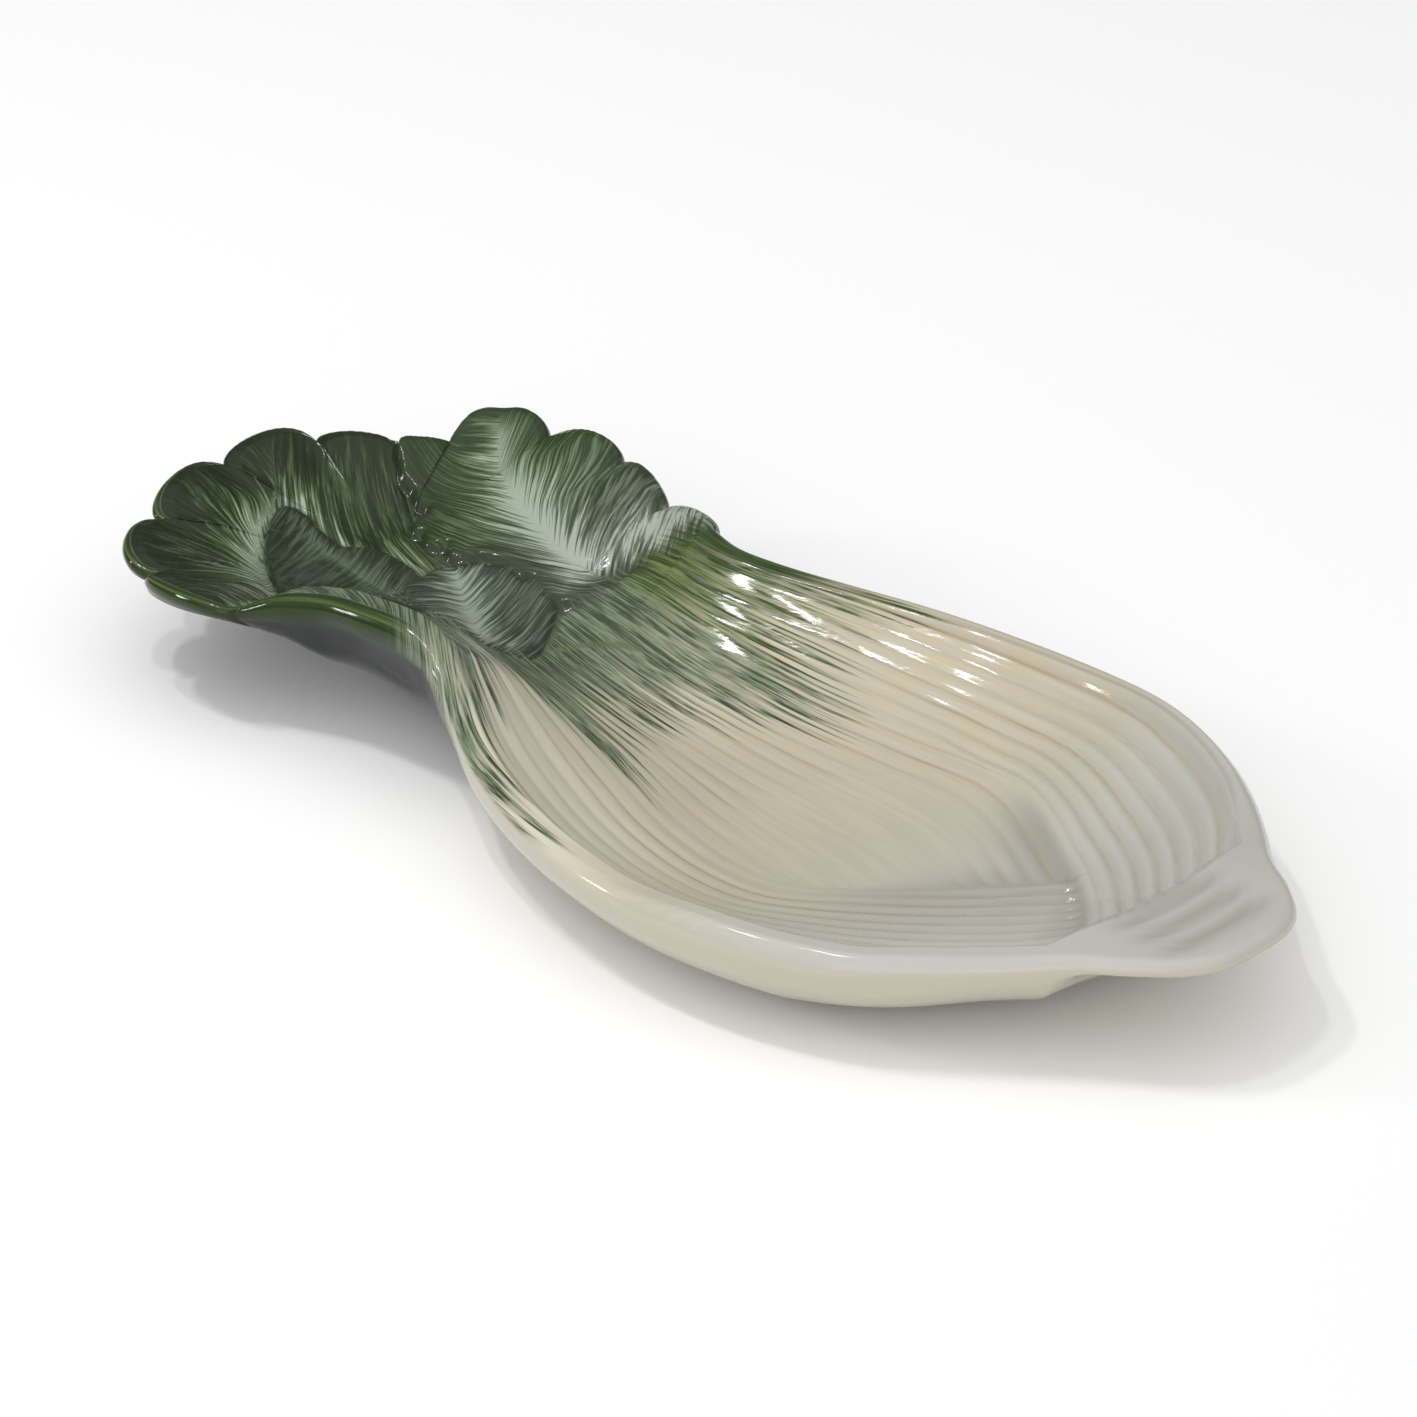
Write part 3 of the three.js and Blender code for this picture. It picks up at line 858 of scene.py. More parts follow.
def addNode(tree, kind, values=None, **settings):
    made = tree.nodes.new(kind)
    for key, value in settings.items():
        setattr(made, key, value)
    for key, value in (values or {}).items():
        give(tree, made.inputs[key], value)
    return made


def calc(tree, operation, a, b=0.0, clamp=False):
    return addNode(tree, "ShaderNodeMath", {0: a, 1: b}, operation=operation, use_clamp=clamp).outputs[0]


def plus(tree, a, b):
    return calc(tree, "ADD", a, b)


def minus(tree, a, b):
    return calc(tree, "SUBTRACT", a, b)


def times(tree, first, *others):
    for other in others:
        first = calc(tree, "MULTIPLY", first, other)
    return first


def greater(tree, a, b):
    return calc(tree, "MAXIMUM", a, b)


def centred(tree, noise, width):  # noise from 0 to 1, moved to lie round 0 and scaled
    return times(tree, minus(tree, noise, 0.5), width)


def ramp(tree, value, low, high, toLow=0.0, toHigh=1.0):
    values = {"Value": value, "From Min": low, "From Max": high, "To Min": toLow, "To Max": toHigh}
    made = addNode(tree, "ShaderNodeMapRange", values, interpolation_type="SMOOTHSTEP")
    return made.outputs["Result"]


def mixColour(tree, share, a, b):
    made = addNode(tree, "ShaderNodeMix", data_type="RGBA", clamp_factor=True)
    for number, value in ((0, share), (6, a), (7, b)):  # the sockets for a share and for two colours
        give(tree, made.inputs[number], value)
    return made.outputs[2]


def paint(red, green, blue):  # 8-bit paint colour to linear
    return tuple(((c / 255 + 0.055) / 1.055) ** 2.4 for c in (red, green, blue)) + (1.0,)


def splitField(tree, name):
    field = addNode(tree, "ShaderNodeAttribute", attribute_name=name, attribute_type="GEOMETRY")
    parts = addNode(tree, "ShaderNodeSeparateXYZ", {0: field.outputs["Vector"]})
    return parts.outputs


def newGroup(name, inputs, outputs):
    group = bpy.data.node_groups.new(name, "ShaderNodeTree")
    for label, kind, value in inputs:
        socket = group.interface.new_socket(label, in_out="INPUT", socket_type="NodeSocket" + kind)
        socket.default_value = value
    for label, kind in outputs:
        group.interface.new_socket(label, in_out="OUTPUT", socket_type="NodeSocket" + kind)
    start = group.nodes.new("NodeGroupInput")
    end = group.nodes.new("NodeGroupOutput")
    return group, start.outputs, end.inputs


def useGroup(tree, group, values):
    return addNode(tree, "ShaderNodeGroup", values, node_tree=group).outputs


strokeNoise = {"detail": 3.0, "roughness": 0.6, "contrast": (0.39, 0.61)}


def strokesGroup():  # brush strokes that run along a flow, with ragged ends
    group, given, out = newGroup(
        "brushStrokes",
        [
            ("Across", "Float", 0), ("Along", "Float", 0), ("Width", "Float", 1), ("Length", "Float", 14),
            ("Seed", "Float", 0),
        ],
        [("Strokes", "Float"), ("Fine", "Float"), ("Ragged", "Float")],
    )
    u = calc(group, "DIVIDE", given["Across"], given["Width"])
    v = calc(group, "DIVIDE", given["Along"], given["Length"])
    # how much finer across and along than the main strokes, and a shift to another part of the noise
    kinds = (("Strokes", 1, 1, 0), ("Fine", 2.3, 1.6, 40), ("Ragged", 0.8, 0.12, 90))
    for label, scaleU, scaleV, shift in kinds:
        place = addNode(group, "ShaderNodeCombineXYZ", {
            0: times(group, u, scaleU),
            1: times(group, v, scaleV),
            2: plus(group, given["Seed"], shift),
        })
        noise = addNode(group, "ShaderNodeTexNoise", {
            "Vector": place.outputs[0], "Scale": 1.0,
            "Detail": strokeNoise["detail"], "Roughness": strokeNoise["roughness"],
        })
        group.links.new(ramp(group, noise.outputs["Fac"], *strokeNoise["contrast"]), out[label])
    return group


leafBrush = {
    "strokeWidth": 1.05,
    "strokeLength": 12.0,
    "fullTone": 0.74,
    "marginRaggedness": 5.0,
    "strokeShares": (0.14, 0.5),  # at the midrib, on the blade
    "strokesGrow": (0.0, 5.0),
    "edgeFades": (1.1, 0.1),
    "fineStrokes": 0.16,
    "stops": (0.1, 0.34, 0.6, 0.88),
}
leafPaints = {  # pale, light, mid and dark paint from the midrib out
    "wide": {
        "paints": [paint(158, 172, 152), paint(92, 109, 78), paint(48, 66, 32), paint(22, 38, 10)],
        "paleWidth": 0.5, "paleReach": 7, "darkEdge": 17, "bias": 0.12, "greyness": 0, "seed": 1,
    },
    "tall": {
        "paints": [paint(156, 170, 151), paint(100, 116, 89), paint(68, 85, 54), paint(40, 56, 27)],
        "paleWidth": 1.1, "paleReach": 5.8, "darkEdge": 10, "bias": 0.04, "greyness": 0, "seed": 3,
        "shadow": (2.6, 0.6),  # width and strength of the dark line beside its margin
    },
    "small": {
        "paints": [paint(144, 157, 140), paint(96, 110, 94), paint(66, 79, 63), paint(42, 54, 37)],
        "paleWidth": 0.3, "paleReach": 6.5, "darkEdge": 4, "bias": 0.04, "greyness": 0.12, "seed": 4,
        "shadow": (2.0, 0.4),
    },
    "tongue": {
        "paints": [paint(96, 110, 90), paint(70, 84, 64), paint(50, 63, 44), paint(32, 45, 26)],
        "paleWidth": 0, "paleReach": 7, "darkEdge": 4, "bias": 0.16, "greyness": 0.05, "seed": 2,
        "shadow": (2.2, 0.5),
    },
}


def leafToneGroup(strokes):  # 0 at the midrib, 1 at the margin, broken up by brush strokes
    group, given, out = newGroup(
        "leafTone",
        [
            ("Across", "Float", 0), ("Away", "Float", 0), ("Edge Gap", "Float", 10),
            ("Seed", "Float", 0), ("Pale Width", "Float", 3), ("Pale Reach", "Float", 6),
            ("Dark Edge", "Float", 8), ("Bias", "Float", 0),
        ],
        [("Tone", "Float")],
    )
    brush = useGroup(group, strokes, {
        "Across": given["Across"], "Along": given["Away"], "Seed": given["Seed"],
        "Width": leafBrush["strokeWidth"], "Length": leafBrush["strokeLength"],
    })
    uneven = plus(group, given["Away"], centred(group, brush["Ragged"], given["Pale Reach"]))
    far = greater(group, minus(group, uneven, given["Pale Width"]), 0.0)
    fading = calc(group, "EXPONENT", times(group, calc(group, "DIVIDE", far, given["Pale Reach"]), -1.0))
    share = times(group, minus(group, 1.0, fading), leafBrush["fullTone"])
    gap = plus(group, given["Edge Gap"], centred(group, brush["Ragged"], leafBrush["marginRaggedness"]))
    edgeShare = calc(group, "DIVIDE", greater(group, gap, 0.0), given["Dark Edge"])
    nearEdge = ramp(group, edgeShare, *leafBrush["edgeFades"])
    strokesGrow = (*leafBrush["strokesGrow"], *leafBrush["strokeShares"])
    strokeShare = ramp(group, given["Away"], *strokesGrow)
    tone = plus(group, greater(group, share, nearEdge), centred(group, brush["Strokes"], strokeShare))
    tone = plus(group, tone, centred(group, brush["Fine"], leafBrush["fineStrokes"]))
    group.links.new(plus(group, tone, given["Bias"]), out["Tone"])
    return group


def toneRamp(tree, tone, colours):  # pale, light, mid and dark paint over the tone from rib to margin
    made = addNode(tree, "ShaderNodeValToRGB", {"Fac": tone})
    stops = made.color_ramp.elements
    while len(stops) < len(colours):
        stops.new(0.5)
    for stop, place, colour in zip(stops, leafBrush["stops"], colours):
        stop.position = place
        stop.color = colour
    return made.outputs["Color"]


def greyed(tree, colour, share):  # the same paint with part of its colour washed out
    saturation = minus(tree, 1.0, share)
    made = addNode(tree, "ShaderNodeHueSaturation", {"Color": colour, "Saturation": saturation, "Fac": 1.0})
    return made.outputs["Color"]


def leafColour(tree, leafTone, name, gap, away=None, bias=0.0, greyness=None):
    across, ownAway = splitField(tree, "leaf" + name.title())[:2]
    leaf = leafPaints[name]
    tone = useGroup(tree, leafTone, {
        "Across": across, "Away": away or ownAway, "Edge Gap": gap, "Seed": leaf["seed"],
        "Pale Width": leaf["paleWidth"], "Pale Reach": leaf["paleReach"], "Dark Edge": leaf["darkEdge"],
        "Bias": plus(tree, bias, leaf["bias"]),
    })
    return greyed(tree, toneRamp(tree, tone["Tone"], leaf["paints"]), greyness or leaf["greyness"])


# stretches over which the paint of the stalks changes: along x, or over the count of ribs
stalkPasses = {
    "rootward": (40, 100),
    "litFrontWall": (20, 24),
    "litFrontWallAlong": (60, 20),
    "greenEdge": (6, -8),
    "solidGreen": (-6, -46),
    "greenOnBack": (9, 6),
    "greenOnRim": (2.6, 0.6),
    "greenOnRimAlong": (-4, -20),
}
# how noise and the wave of the ribs turn into shares of paint: [from, to] or [from, to, least, most]
stalkShares = {
    "creaseLine": (0.42, 0.0),
    "creaseShadeWave": (0.85, 0.1),
    "warmPatches": (0.42, 0.6),
    "patchyOchre": (0.2, 0.9, 0.1, 0.75),
    "strokedOchre": (0.0, 1.0, 0.5, 1.0),
    "greenTones": (0.22, 0.85),
    "oliveWidth": (1.3, 0.3),
    "strokedOlive": (0.0, 1.0, 0.45, 1.0),
    "leastGreen": 0.45,
    "moreGreen": 0.75,
    "fineGreen": 0.6,
    "raggedGreen": 0.4,
}
stalkPaints = {
    "cream": [paint(190, 184, 164), paint(184, 178, 159)],
    "warm": paint(191, 179, 146),
    "nearRoot": paint(183, 182, 175),
    # lighter cream on the front wall: painted light
    "litFrontWall": paint(205, 199, 180),
    # darker grey deep in the creases between the ribs: painted shade
    "hollow": paint(168, 163, 150),
    # grey painted shade below the folds and in the tab grooves
    "paintedShadeGrey": paint(148, 146, 136),
    "creaseInBowl": paint(160, 138, 104),
    "creaseNearRoot": paint(174, 164, 140),
    # green on the middle and front stalks, on the back stalk, on the rim of the neck
    "deepGreens": [paint(54, 69, 48), paint(42, 62, 20), paint(44, 60, 26)],
    "lightGreens": [paint(116, 129, 104), paint(104, 120, 68), paint(70, 88, 46)],
    "oliveLine": [paint(60, 74, 40), paint(98, 110, 74)],
    "jagLength": 26.0,
    "patchNoise": {"Scale": 24.0, "Detail": 2.0, "Roughness": 0.5},
    # how strongly each lies over the cream
    "warmShare": 0.4,
    "hollowShare": 0.35,
    "paintedShadeStrength": 0.8,
}


brushes = {  # stroke width in ribs or in shares of the rim, stroke length in mm, seed
    "cream": (0.34, 34.0, 5.0),
    "green": (0.3, 20.0, 11.0),
    "rim": (0.22, 30.0, 8.0),
}


def brushOf(tree, strokes, name, across, x):
    width, length, seed = brushes[name]
    values = {"Across": across, "Along": x, "Width": width, "Length": length, "Seed": seed}
    return useGroup(tree, strokes, values)


def creamStalks(tree, brush, phase, x, plain, paintedShade):  # cream ribs, ochre in the creases, cooler to the root, with painted shade in the creases and below the folds and painted light on the front wall
    wave = calc(tree, "ABSOLUTE", calc(tree, "SINE", times(tree, phase, math.pi)))
    ribbed = minus(tree, 1.0, plain)
    line = times(tree, ramp(tree, wave, *stalkShares["creaseLine"]), ribbed)
    # painted shade: darker grey deep in each crease
    hollow = times(tree, ramp(tree, wave, *stalkShares["creaseShadeWave"]), ribbed)
    patches = addNode(tree, "ShaderNodeTexNoise", stalkPaints["patchNoise"])
    warm = times(tree, ramp(tree, patches.outputs["Fac"], *stalkShares["warmPatches"]), ribbed)
    rootward = ramp(tree, x, *stalkPasses["rootward"])
    # painted light: the front wall of the stalks is painted a lighter cream
    litFrontWall = ramp(tree, phase, *stalkPasses["litFrontWall"])
    litFrontWall = times(tree, litFrontWall, ramp(tree, x, *stalkPasses["litFrontWallAlong"]))
    cream = mixColour(tree, brush["Strokes"], *stalkPaints["cream"])
    cream = mixColour(tree, times(tree, warm, stalkPaints["warmShare"]), cream, stalkPaints["warm"])
    cream = mixColour(tree, rootward, cream, stalkPaints["nearRoot"])
    cream = mixColour(tree, litFrontWall, cream, stalkPaints["litFrontWall"])
    cream = mixColour(tree, times(tree, hollow, stalkPaints["hollowShare"]), cream, stalkPaints["hollow"])
    # painted shade below the folds and in the tab grooves
    cream = mixColour(tree, times(tree, paintedShade, stalkPaints["paintedShadeStrength"]), cream, stalkPaints["paintedShadeGrey"])
    patchy = ramp(tree, brush["Ragged"], *stalkShares["patchyOchre"])
    stroked = ramp(tree, brush["Fine"], *stalkShares["strokedOchre"])
    ochreShare = times(tree, line, patchy, stroked)
    ochre = mixColour(tree, rootward, stalkPaints["creaseInBowl"], stalkPaints["creaseNearRoot"])
    return mixColour(tree, ochreShare, cream, ochre)


def greenStrokes(tree, strokes, phase, x, fade):  # green paint that runs out over the stalks
    brush = brushOf(tree, strokes, "green", phase, x)
    jagged = plus(tree, fade, centred(tree, brush["Ragged"], stalkPaints["jagLength"]))
    edge = ramp(tree, jagged, *stalkPasses["greenEdge"])
    solid = ramp(tree, x, *stalkPasses["solidGreen"])
    onBack = ramp(tree, phase, *stalkPasses["greenOnBack"])
    onRim = ramp(tree, phase, *stalkPasses["greenOnRim"])
    onRim = times(tree, onRim, ramp(tree, x, *stalkPasses["greenOnRimAlong"]))
    cover = times(tree, brush["Strokes"], stalkShares["moreGreen"])
    cover = plus(tree, cover, stalkShares["leastGreen"])
    cover = calc(tree, "MAXIMUM", cover, greater(tree, solid, onRim), clamp=True)
    tones = []
    for middle, back, rim in (stalkPaints["deepGreens"], stalkPaints["lightGreens"]):
        tones.append(mixColour(tree, onRim, mixColour(tree, onBack, middle, back), rim))
    fine = times(tree, brush["Fine"], stalkShares["fineGreen"])
    mix = plus(tree, fine, times(tree, brush["Ragged"], stalkShares["raggedGreen"]))
    toneShare = ramp(tree, mix, *stalkShares["greenTones"])
    return times(tree, edge, cover), mixColour(tree, toneShare, *tones)


def stalkColour(tree, strokes, brush, x):
    phase, fade = splitField(tree, "stalk")[:2]
    plain, paintedShade = splitField(tree, "plainAndShade")[:2]
    oliveGap = splitField(tree, "surfaceZone")[2]
    cream = creamStalks(tree, brush, phase, x, plain, paintedShade)
    greenShare, green = greenStrokes(tree, strokes, phase, x, fade)
    colour = mixColour(tree, greenShare, cream, green)
    olive = mixColour(tree, brush["Fine"], *stalkPaints["oliveLine"])
    onLine = ramp(tree, oliveGap, *stalkShares["oliveWidth"])
    oliveShare = times(tree, onLine, ramp(tree, brush["Fine"], *stalkShares["strokedOlive"]))
    return mixColour(tree, oliveShare, colour, olive)


leafShadow = paint(42, 52, 36)
# stretches of x, of y or of the way along a midrib over which the paint of the leaves changes
leafPasses = {
    "wideBegins": (-80, -88),
    "wideGreys": (-30, -44),
    "tallTip": (-90, -102),
    "tallNeck": (-68, -56),
    "tallNeckAcross": (28, 38),
    "tallGreys": (-94, -60),
    "tallOpens": (-66, -56),
    "tallOpensAcross": (9, 20),
    "smallLow": (-8, -16),
    "smallOpens": (8, 18),
    # widths in mm of ragged or soft ends, and how much greyer or paler paint gets over a stretch
    "marginEdge": (-0.3, 0.3),
    "shadowGap": 0.2,
    "tongueClear": 3.0,
    "wideGreyness": 0.15,
    "wideRaggedness": 6.0,
    "tallTipBias": (-0.1, 0.14),
    "tallNeckBias": -0.5,
    "tallGreyness": 0.4,
    "tallRaggedness": 6.0,
    "tallSoftness": 4.0,
    "smallRaggedness": 9.0,
    "smallBaseEnd": 12.0,
    "smallBaseEdge": (-2.0, 2.0),
    "smallLowStrokes": 0.8,
}


def underLeaf(tree, colour, name, cover, where=1.0):  # the thin dark line beside a leaf's margin
    width, share = leafPaints[name]["shadow"]
    dark = times(tree, ramp(tree, cover, -width, -leafPasses["shadowGap"], 0.0, share), where)
    return mixColour(tree, dark, colour, leafShadow)


def wideOver(tree, leafTone, brush, colour, x, y):
    edgeGap = splitField(tree, "stalk")[2]
    coverTongue = splitField(tree, "covers")[2]
    aboveTongue = plus(tree, greater(tree, times(tree, coverTongue, -1.0), 0.0), leafPasses["tongueClear"])
    far = calc(tree, "MINIMUM", splitField(tree, "leafWide")[1], aboveTongue)
    greyness = ramp(tree, y, *leafPasses["wideGreys"], 0.0, leafPasses["wideGreyness"])
    wide = leafColour(tree, leafTone, "wide", edgeGap, far, greyness=greyness)
    raggedX = plus(tree, x, times(tree, brush["Ragged"], leafPasses["wideRaggedness"]))
    return mixColour(tree, ramp(tree, raggedX, *leafPasses["wideBegins"]), colour, wide)


def tongueOver(tree, leafTone, colour):
    cover = splitField(tree, "covers")[2]
    colour = underLeaf(tree, colour, "tongue", cover)
    tongue = leafColour(tree, leafTone, "tongue", cover)
    return mixColour(tree, ramp(tree, cover, *leafPasses["marginEdge"]), colour, tongue)


def tallOver(tree, leafTone, brush, colour, x, y):  # its base at the neck fades into the stalks
    edgeGap = splitField(tree, "stalk")[2]
    cover = splitField(tree, "covers")[0]
    atTip = ramp(tree, x, *leafPasses["tallTip"], *leafPasses["tallTipBias"])
    towardNeck = ramp(tree, x, *leafPasses["tallNeck"], 0.0, leafPasses["tallNeckBias"])
    atNeck = times(tree, towardNeck, ramp(tree, y, *leafPasses["tallNeckAcross"]))
    greyness = ramp(tree, x, *leafPasses["tallGreys"], 0.0, leafPasses["tallGreyness"])
    gap = calc(tree, "MINIMUM", cover, edgeGap)
    bias = plus(tree, atTip, atNeck)
    tall = leafColour(tree, leafTone, "tall", gap, bias=bias, greyness=greyness)
    openAcross = ramp(tree, y, *leafPasses["tallOpensAcross"])
    openBase = times(tree, openAcross, ramp(tree, x, *leafPasses["tallOpens"]))
    colour = underLeaf(tree, colour, "tall", cover, minus(tree, 1.0, openBase))
    ragged = centred(tree, brush["Ragged"], times(tree, openBase, leafPasses["tallRaggedness"]))
    soft = plus(tree, times(tree, openBase, leafPasses["tallSoftness"]), leafPasses["marginEdge"][1])
    onTall = ramp(tree, plus(tree, cover, ragged), times(tree, soft, -1.0), soft)
    return mixColour(tree, onTall, colour, tall)


def smallOver(tree, leafTone, brush, colour, y):  # its base and its low side run out in strokes
    cover = splitField(tree, "covers")[1]
    along = splitField(tree, "leafSmall")[2]
    low = ramp(tree, y, *leafPasses["smallLow"])
    opened = ramp(tree, along, *leafPasses["smallOpens"])
    colour = underLeaf(tree, colour, "small", cover, times(tree, opened, minus(tree, 1.0, low)))
    raggedness, baseEnd = leafPasses["smallRaggedness"], leafPasses["smallBaseEnd"]
    base = minus(tree, plus(tree, along, times(tree, brush["Strokes"], raggedness)), baseEnd)
    strokes = minus(tree, brush["Strokes"], leafPasses["smallLowStrokes"])
    ragged = plus(tree, cover, times(tree, strokes, low, raggedness))
    onSmall = ramp(tree, ragged, *leafPasses["marginEdge"])
    onSmall = times(tree, onSmall, ramp(tree, base, *leafPasses["smallBaseEdge"]))
    return mixColour(tree, onSmall, colour, leafColour(tree, leafTone, "small", cover))


def leavesOver(tree, strokes, brush, colour, x, y):  # each leaf over the stalks and the leaves below it
    leafTone = leafToneGroup(strokes)
    colour = wideOver(tree, leafTone, brush, colour, x, y)
    colour = tongueOver(tree, leafTone, colour)
    colour = tallOver(tree, leafTone, brush, colour, x, y)
    return smallOver(tree, leafTone, brush, colour, y)


rimPaints = {
    "rolledDeep": paint(38, 54, 22),
    # lighter green toward the top of the rolled rim: partly brush tone, partly painted light
    "rolledLitGreen": paint(84, 104, 46),
    "rolledCrest": paint(104, 114, 98),
    "backRim": paint(40, 52, 30),
    # grey-green paint under the leaves: pale low down as a painted reflection of the floor, dark high up as
    # painted shade
    "underLeavesShadeAndReflection": [paint(96, 98, 102), paint(18, 25, 21)],
    "outsideBowl": paint(190, 184, 167),
    "bareFoot": paint(208, 198, 178),
}
# stretches of x, y or height over which rims and the outside change
rimPasses = {
    "rolledAcross": (-22, -34),
    "rolled": (-34, -48),
    "backRim": (-40, -50),
    "bowlSide": (-30, -14),
    "bowlBegins": (-36, -16),
    "floorReflectionUnder": (7, 20),
    # shares of the way round the rim: 0 on its crest, 1 on its outside, 2 under the dish
    "litPatches": (0.25, 0.9),
    "litAround": (0.9, 0.4),
    "crestAround": (0.16, 0.04, 0.0, 0.8),
    "rolledAround": (0.02, 0.1),
    "backRimAround": (0.3, 0.8, 0.0, 0.7),
    "bowlSideAround": (0.55, 0.95),
    "outsideAround": (1.02, 1.12),
}


def rimOver(tree, strokes, colour, zone, x, y):  # the rolled rim of the front leaves and the rim behind, with painted light on the upper side of the roll
    along = brushOf(tree, strokes, "rim", zone, x)
    # painted light: lighter green in ragged patches on the upper side of the roll
    glow = ramp(tree, along["Ragged"], *rimPasses["litPatches"])
    glow = times(tree, glow, ramp(tree, zone, *rimPasses["litAround"]))
    crest = ramp(tree, zone, *rimPasses["crestAround"])
    rolled = mixColour(tree, glow, rimPaints["rolledDeep"], rimPaints["rolledLitGreen"])
    rolled = mixColour(tree, crest, rolled, rimPaints["rolledCrest"])
    inFront = times(tree, ramp(tree, y, *rimPasses["rolledAcross"]), ramp(tree, x, *rimPasses["rolled"]))
    frontRim = times(tree, ramp(tree, zone, *rimPasses["rolledAround"]), inFront)
    backRim = ramp(tree, zone, *rimPasses["backRimAround"])
    backRim = times(tree, backRim, ramp(tree, x, *rimPasses["backRim"]))
    colour = mixColour(tree, backRim, colour, rimPaints["backRim"])
    return mixColour(tree, frontRim, colour, rolled)


def outsideOver(tree, colour, zone, x, height):  # grey-green under the leaves, with painted shade high up under the lip and a paler painted reflection of the floor low down; cream under the bowl
    under = mixColour(tree, ramp(tree, height, *rimPasses["floorReflectionUnder"]), *rimPaints["underLeavesShadeAndReflection"])
    outside = mixColour(tree, ramp(tree, x, *rimPasses["bowlBegins"]), under, rimPaints["outsideBowl"])
    bowlSide = ramp(tree, zone, *rimPasses["bowlSideAround"])
    bowlSide = times(tree, bowlSide, ramp(tree, x, *rimPasses["bowlSide"]))
    beyondRim = ramp(tree, zone, *rimPasses["outsideAround"])
    return mixColour(tree, greater(tree, beyondRim, bowlSide), colour, outside)


glazeFinish = {
    "roughness": (0.1, 0.15),
    "bareRoughness": 0.8,
    "bareFoot": (0.6, 0.95),
    "bareBelow": (0.8, 0.2),
    "speckles": (0.3, 0.7),
    "rippleStrength": 0.05,
    "rippleScale": 60.0,
    "rippleDepth": 0.001,
    "speckleScale": 900.0,
    "reflection": 0.3,
    "indexOfRefraction": 1.45,
    "coat": 0.15,
    "coatRoughness": 0.04,
}


def glazeMaterial():
    finish = glazeFinish
    material = bpy.data.materials.new("paintedGlaze")
    material.use_nodes = True
    tree = material.node_tree
    tree.nodes.clear()
    strokes = strokesGroup()
    phase = splitField(tree, "stalk")[0]
    zone, foot = splitField(tree, "surfaceZone")[:2]
    x, y, height = splitField(tree, "place")[:3]

    brush = brushOf(tree, strokes, "cream", phase, x)
    colour = stalkColour(tree, strokes, brush, x)
    colour = leavesOver(tree, strokes, brush, colour, x, y)
    colour = rimOver(tree, strokes, colour, zone, x, y)
    colour = outsideOver(tree, colour, zone, x, height)
    bareFoot = ramp(tree, foot, *finish["bareFoot"])
    bareFoot = times(tree, bareFoot, ramp(tree, height, *finish["bareBelow"]))
    colour = mixColour(tree, bareFoot, colour, rimPaints["bareFoot"])

    speckle = addNode(tree, "ShaderNodeTexNoise", {"Scale": finish["speckleScale"], "Detail": 1.0})
    ripple = addNode(tree, "ShaderNodeTexNoise", {"Scale": finish["rippleScale"], "Detail": 1.0})
    bump = addNode(tree, "ShaderNodeBump", {
        "Height": ripple.outputs["Fac"], "Strength": finish["rippleStrength"],
        "Distance": finish["rippleDepth"],
    })
    rough = ramp(tree, speckle.outputs["Fac"], *finish["speckles"], *finish["roughness"])
    rough = greater(tree, rough, times(tree, bareFoot, finish["bareRoughness"]))
    shader = addNode(tree, "ShaderNodeBsdfPrincipled", {
        "Base Color": colour, "Roughness": rough, "Normal": bump.outputs[0],
        "IOR": finish["indexOfRefraction"], "Specular IOR Level": finish["reflection"],
        "Coat Weight": finish["coat"], "Coat Roughness": finish["coatRoughness"],
    })
    addNode(tree, "ShaderNodeOutputMaterial", {"Surface": shader.outputs[0]})
    return material


studio = {
    "floorSize": 6.0,
    "floorColour": (0.93, 0.93, 0.93, 1),
    "floorRoughness": 0.9,
    "skyMiddle": (0.32, -0.27, 0.91),
    "skyLow": 0.2,
    "skyHigh": 1.14,
    "skyFades": (0.15, 0.9),  # cosines of the angle from the middle of the bright sky
    "lights": [
        # name, direction from the dish, distance, size, power
        ["windowTop", (-0.1, -0.23, 0.97), 1.4, (0.12, 0.05), 1.8],
        ["windowHigh", (-0.29, -0.27, 0.92), 1.4, (0.16, 0.07), 2.6],
        ["windowLow", (-0.68, -0.64, 0.36), 1.6, (0.14, 0.26), 3],
        ["frontFill", (0.75, -0.95, 0.55), 2.2, (1.6, 1.0), 6],
    ],
}
cameraSetup = {
    "azimuth": 47,
    "elevation": 28,
    "distance": 0.8,
    "target": (0.0049, -0.0035, 0.0208),
    "lens": 99.18,
    "sensorWidth": 36,
    "clip": (0.05, 50),
}


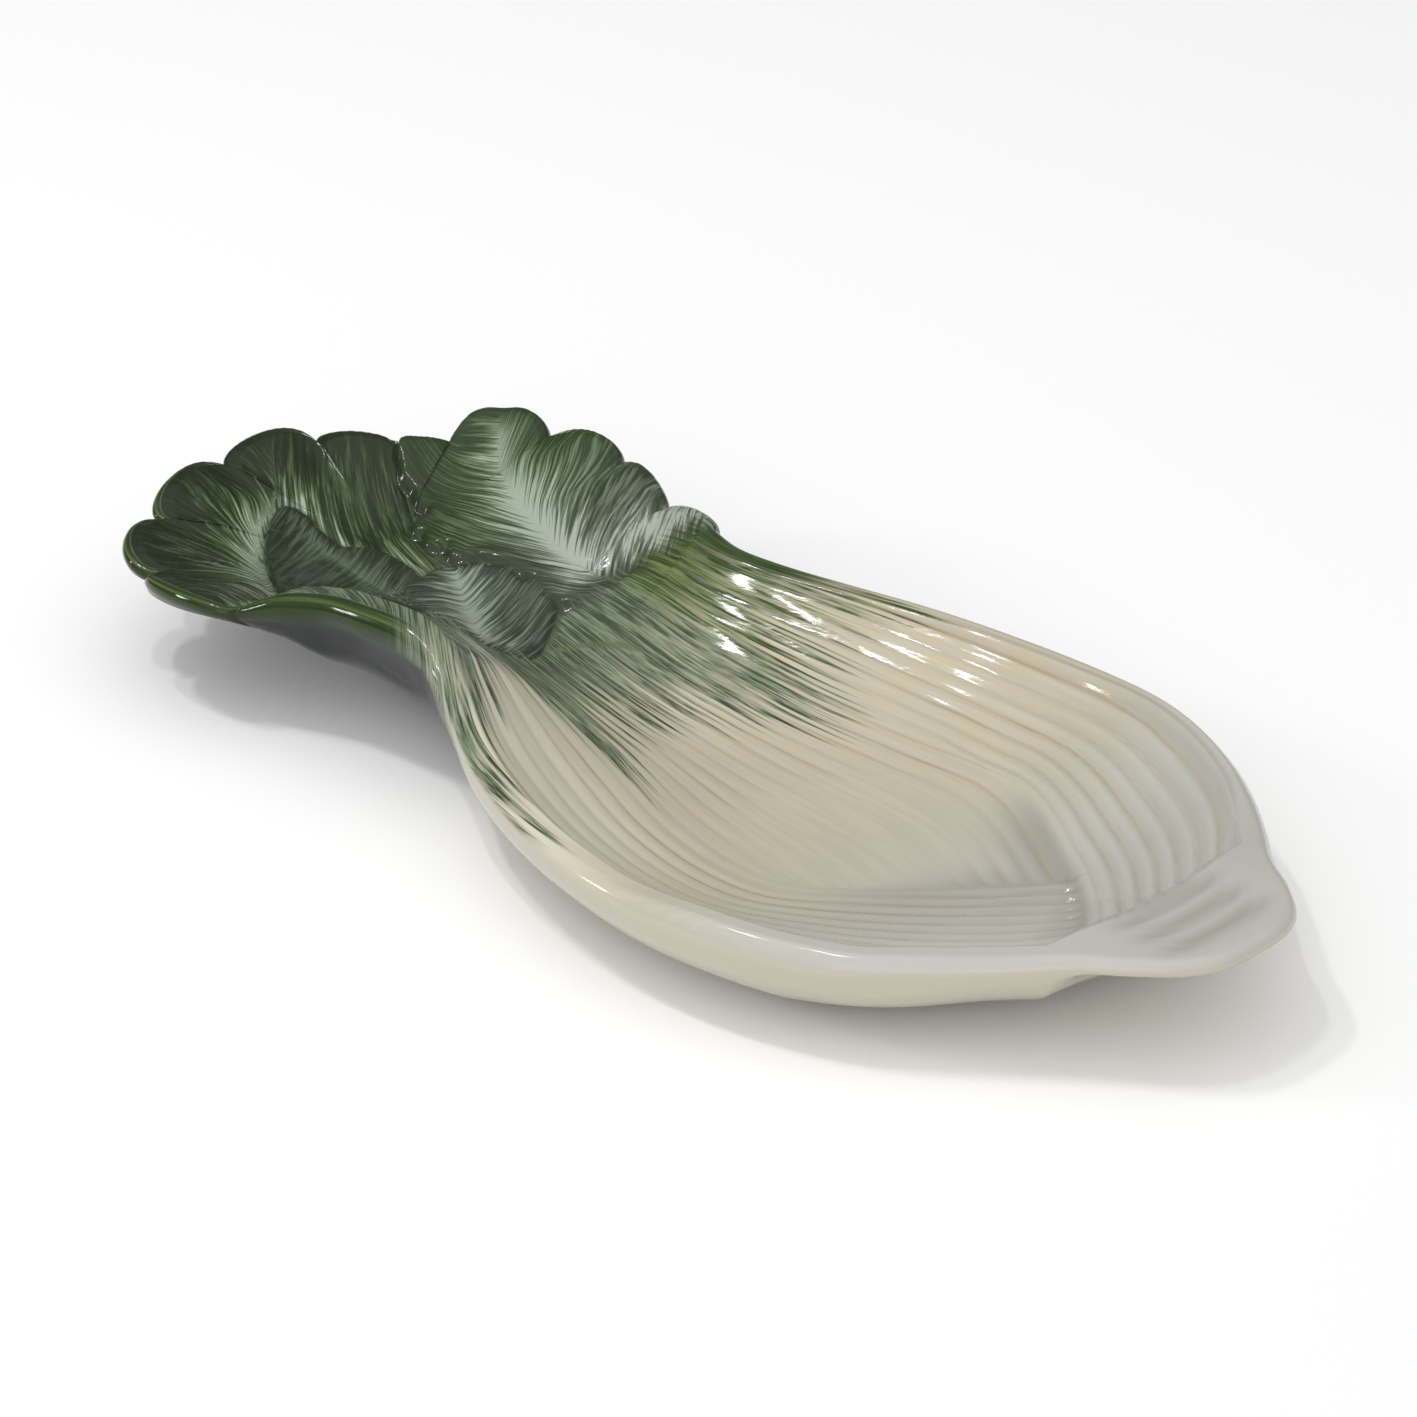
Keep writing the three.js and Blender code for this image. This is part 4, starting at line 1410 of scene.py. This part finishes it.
def makeFloor():
    half = studio["floorSize"] / 2
    corners = [(-half, -half, 0), (half, -half, 0), (half, half, 0), (-half, half, 0)]
    mesh = bpy.data.meshes.new("studioFloor")
    mesh.from_pydata(corners, [], [(0, 1, 2, 3)])
    material = bpy.data.materials.new("paleFloor")
    material.use_nodes = True
    shader = material.node_tree.nodes["Principled BSDF"]
    shader.inputs["Base Color"].default_value = studio["floorColour"]
    shader.inputs["Roughness"].default_value = studio["floorRoughness"]
    mesh.materials.append(material)
    made = bpy.data.objects.new("studioFloor", mesh)
    bpy.context.scene.collection.objects.link(made)


def makeLights():
    for name, direction, distance, (width, length), power in studio["lights"]:
        lamp = bpy.data.lights.new(name, "AREA")
        lamp.shape = "RECTANGLE"
        lamp.size, lamp.size_y, lamp.energy = width, length, power
        made = bpy.data.objects.new(name, lamp)
        made.location = Vector(direction).normalized() * distance
        made.rotation_euler = Vector(direction).to_track_quat("Z", "Y").to_euler()
        bpy.context.scene.collection.objects.link(made)
    world = bpy.data.worlds.new("studioWorld")
    world.use_nodes = True
    tree = world.node_tree
    direction = addNode(tree, "ShaderNodeTexCoord").outputs["Generated"]
    middle = Vector(studio["skyMiddle"]).normalized()
    towards = addNode(tree, "ShaderNodeVectorMath", {0: direction, 1: middle}, operation="DOT_PRODUCT")
    brightness = (*studio["skyFades"], studio["skyLow"], studio["skyHigh"])
    glow = ramp(tree, towards.outputs["Value"], *brightness)
    tree.links.new(glow, tree.nodes["Background"].inputs["Strength"])
    tree.nodes["Background"].inputs["Color"].default_value = (1, 1, 1, 1)
    bpy.context.scene.world = world


def makeCamera():
    turn, tilt = math.radians(cameraSetup["azimuth"]), math.radians(cameraSetup["elevation"])
    back = Vector((math.sin(turn) * math.cos(tilt), -math.cos(turn) * math.cos(tilt), math.sin(tilt)))
    data = bpy.data.cameras.new("camera")
    data.lens = cameraSetup["lens"]
    data.sensor_width = cameraSetup["sensorWidth"]
    data.clip_start, data.clip_end = cameraSetup["clip"]
    made = bpy.data.objects.new("camera", data)
    made.location = Vector(cameraSetup["target"]) + back * cameraSetup["distance"]
    made.rotation_euler = back.to_track_quat("Z", "Y").to_euler()
    bpy.context.scene.collection.objects.link(made)
    bpy.context.scene.camera = made


bpy.context.scene.view_settings.view_transform = "Standard"
bokChoyDish = makeDish()
bokChoyDish.data.materials.append(glazeMaterial())
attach(bokChoyDish, "root")
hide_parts("bok_choy_dish")
print("dish painted")

makeFloor()
makeLights()
makeCamera()
print("studio ready")
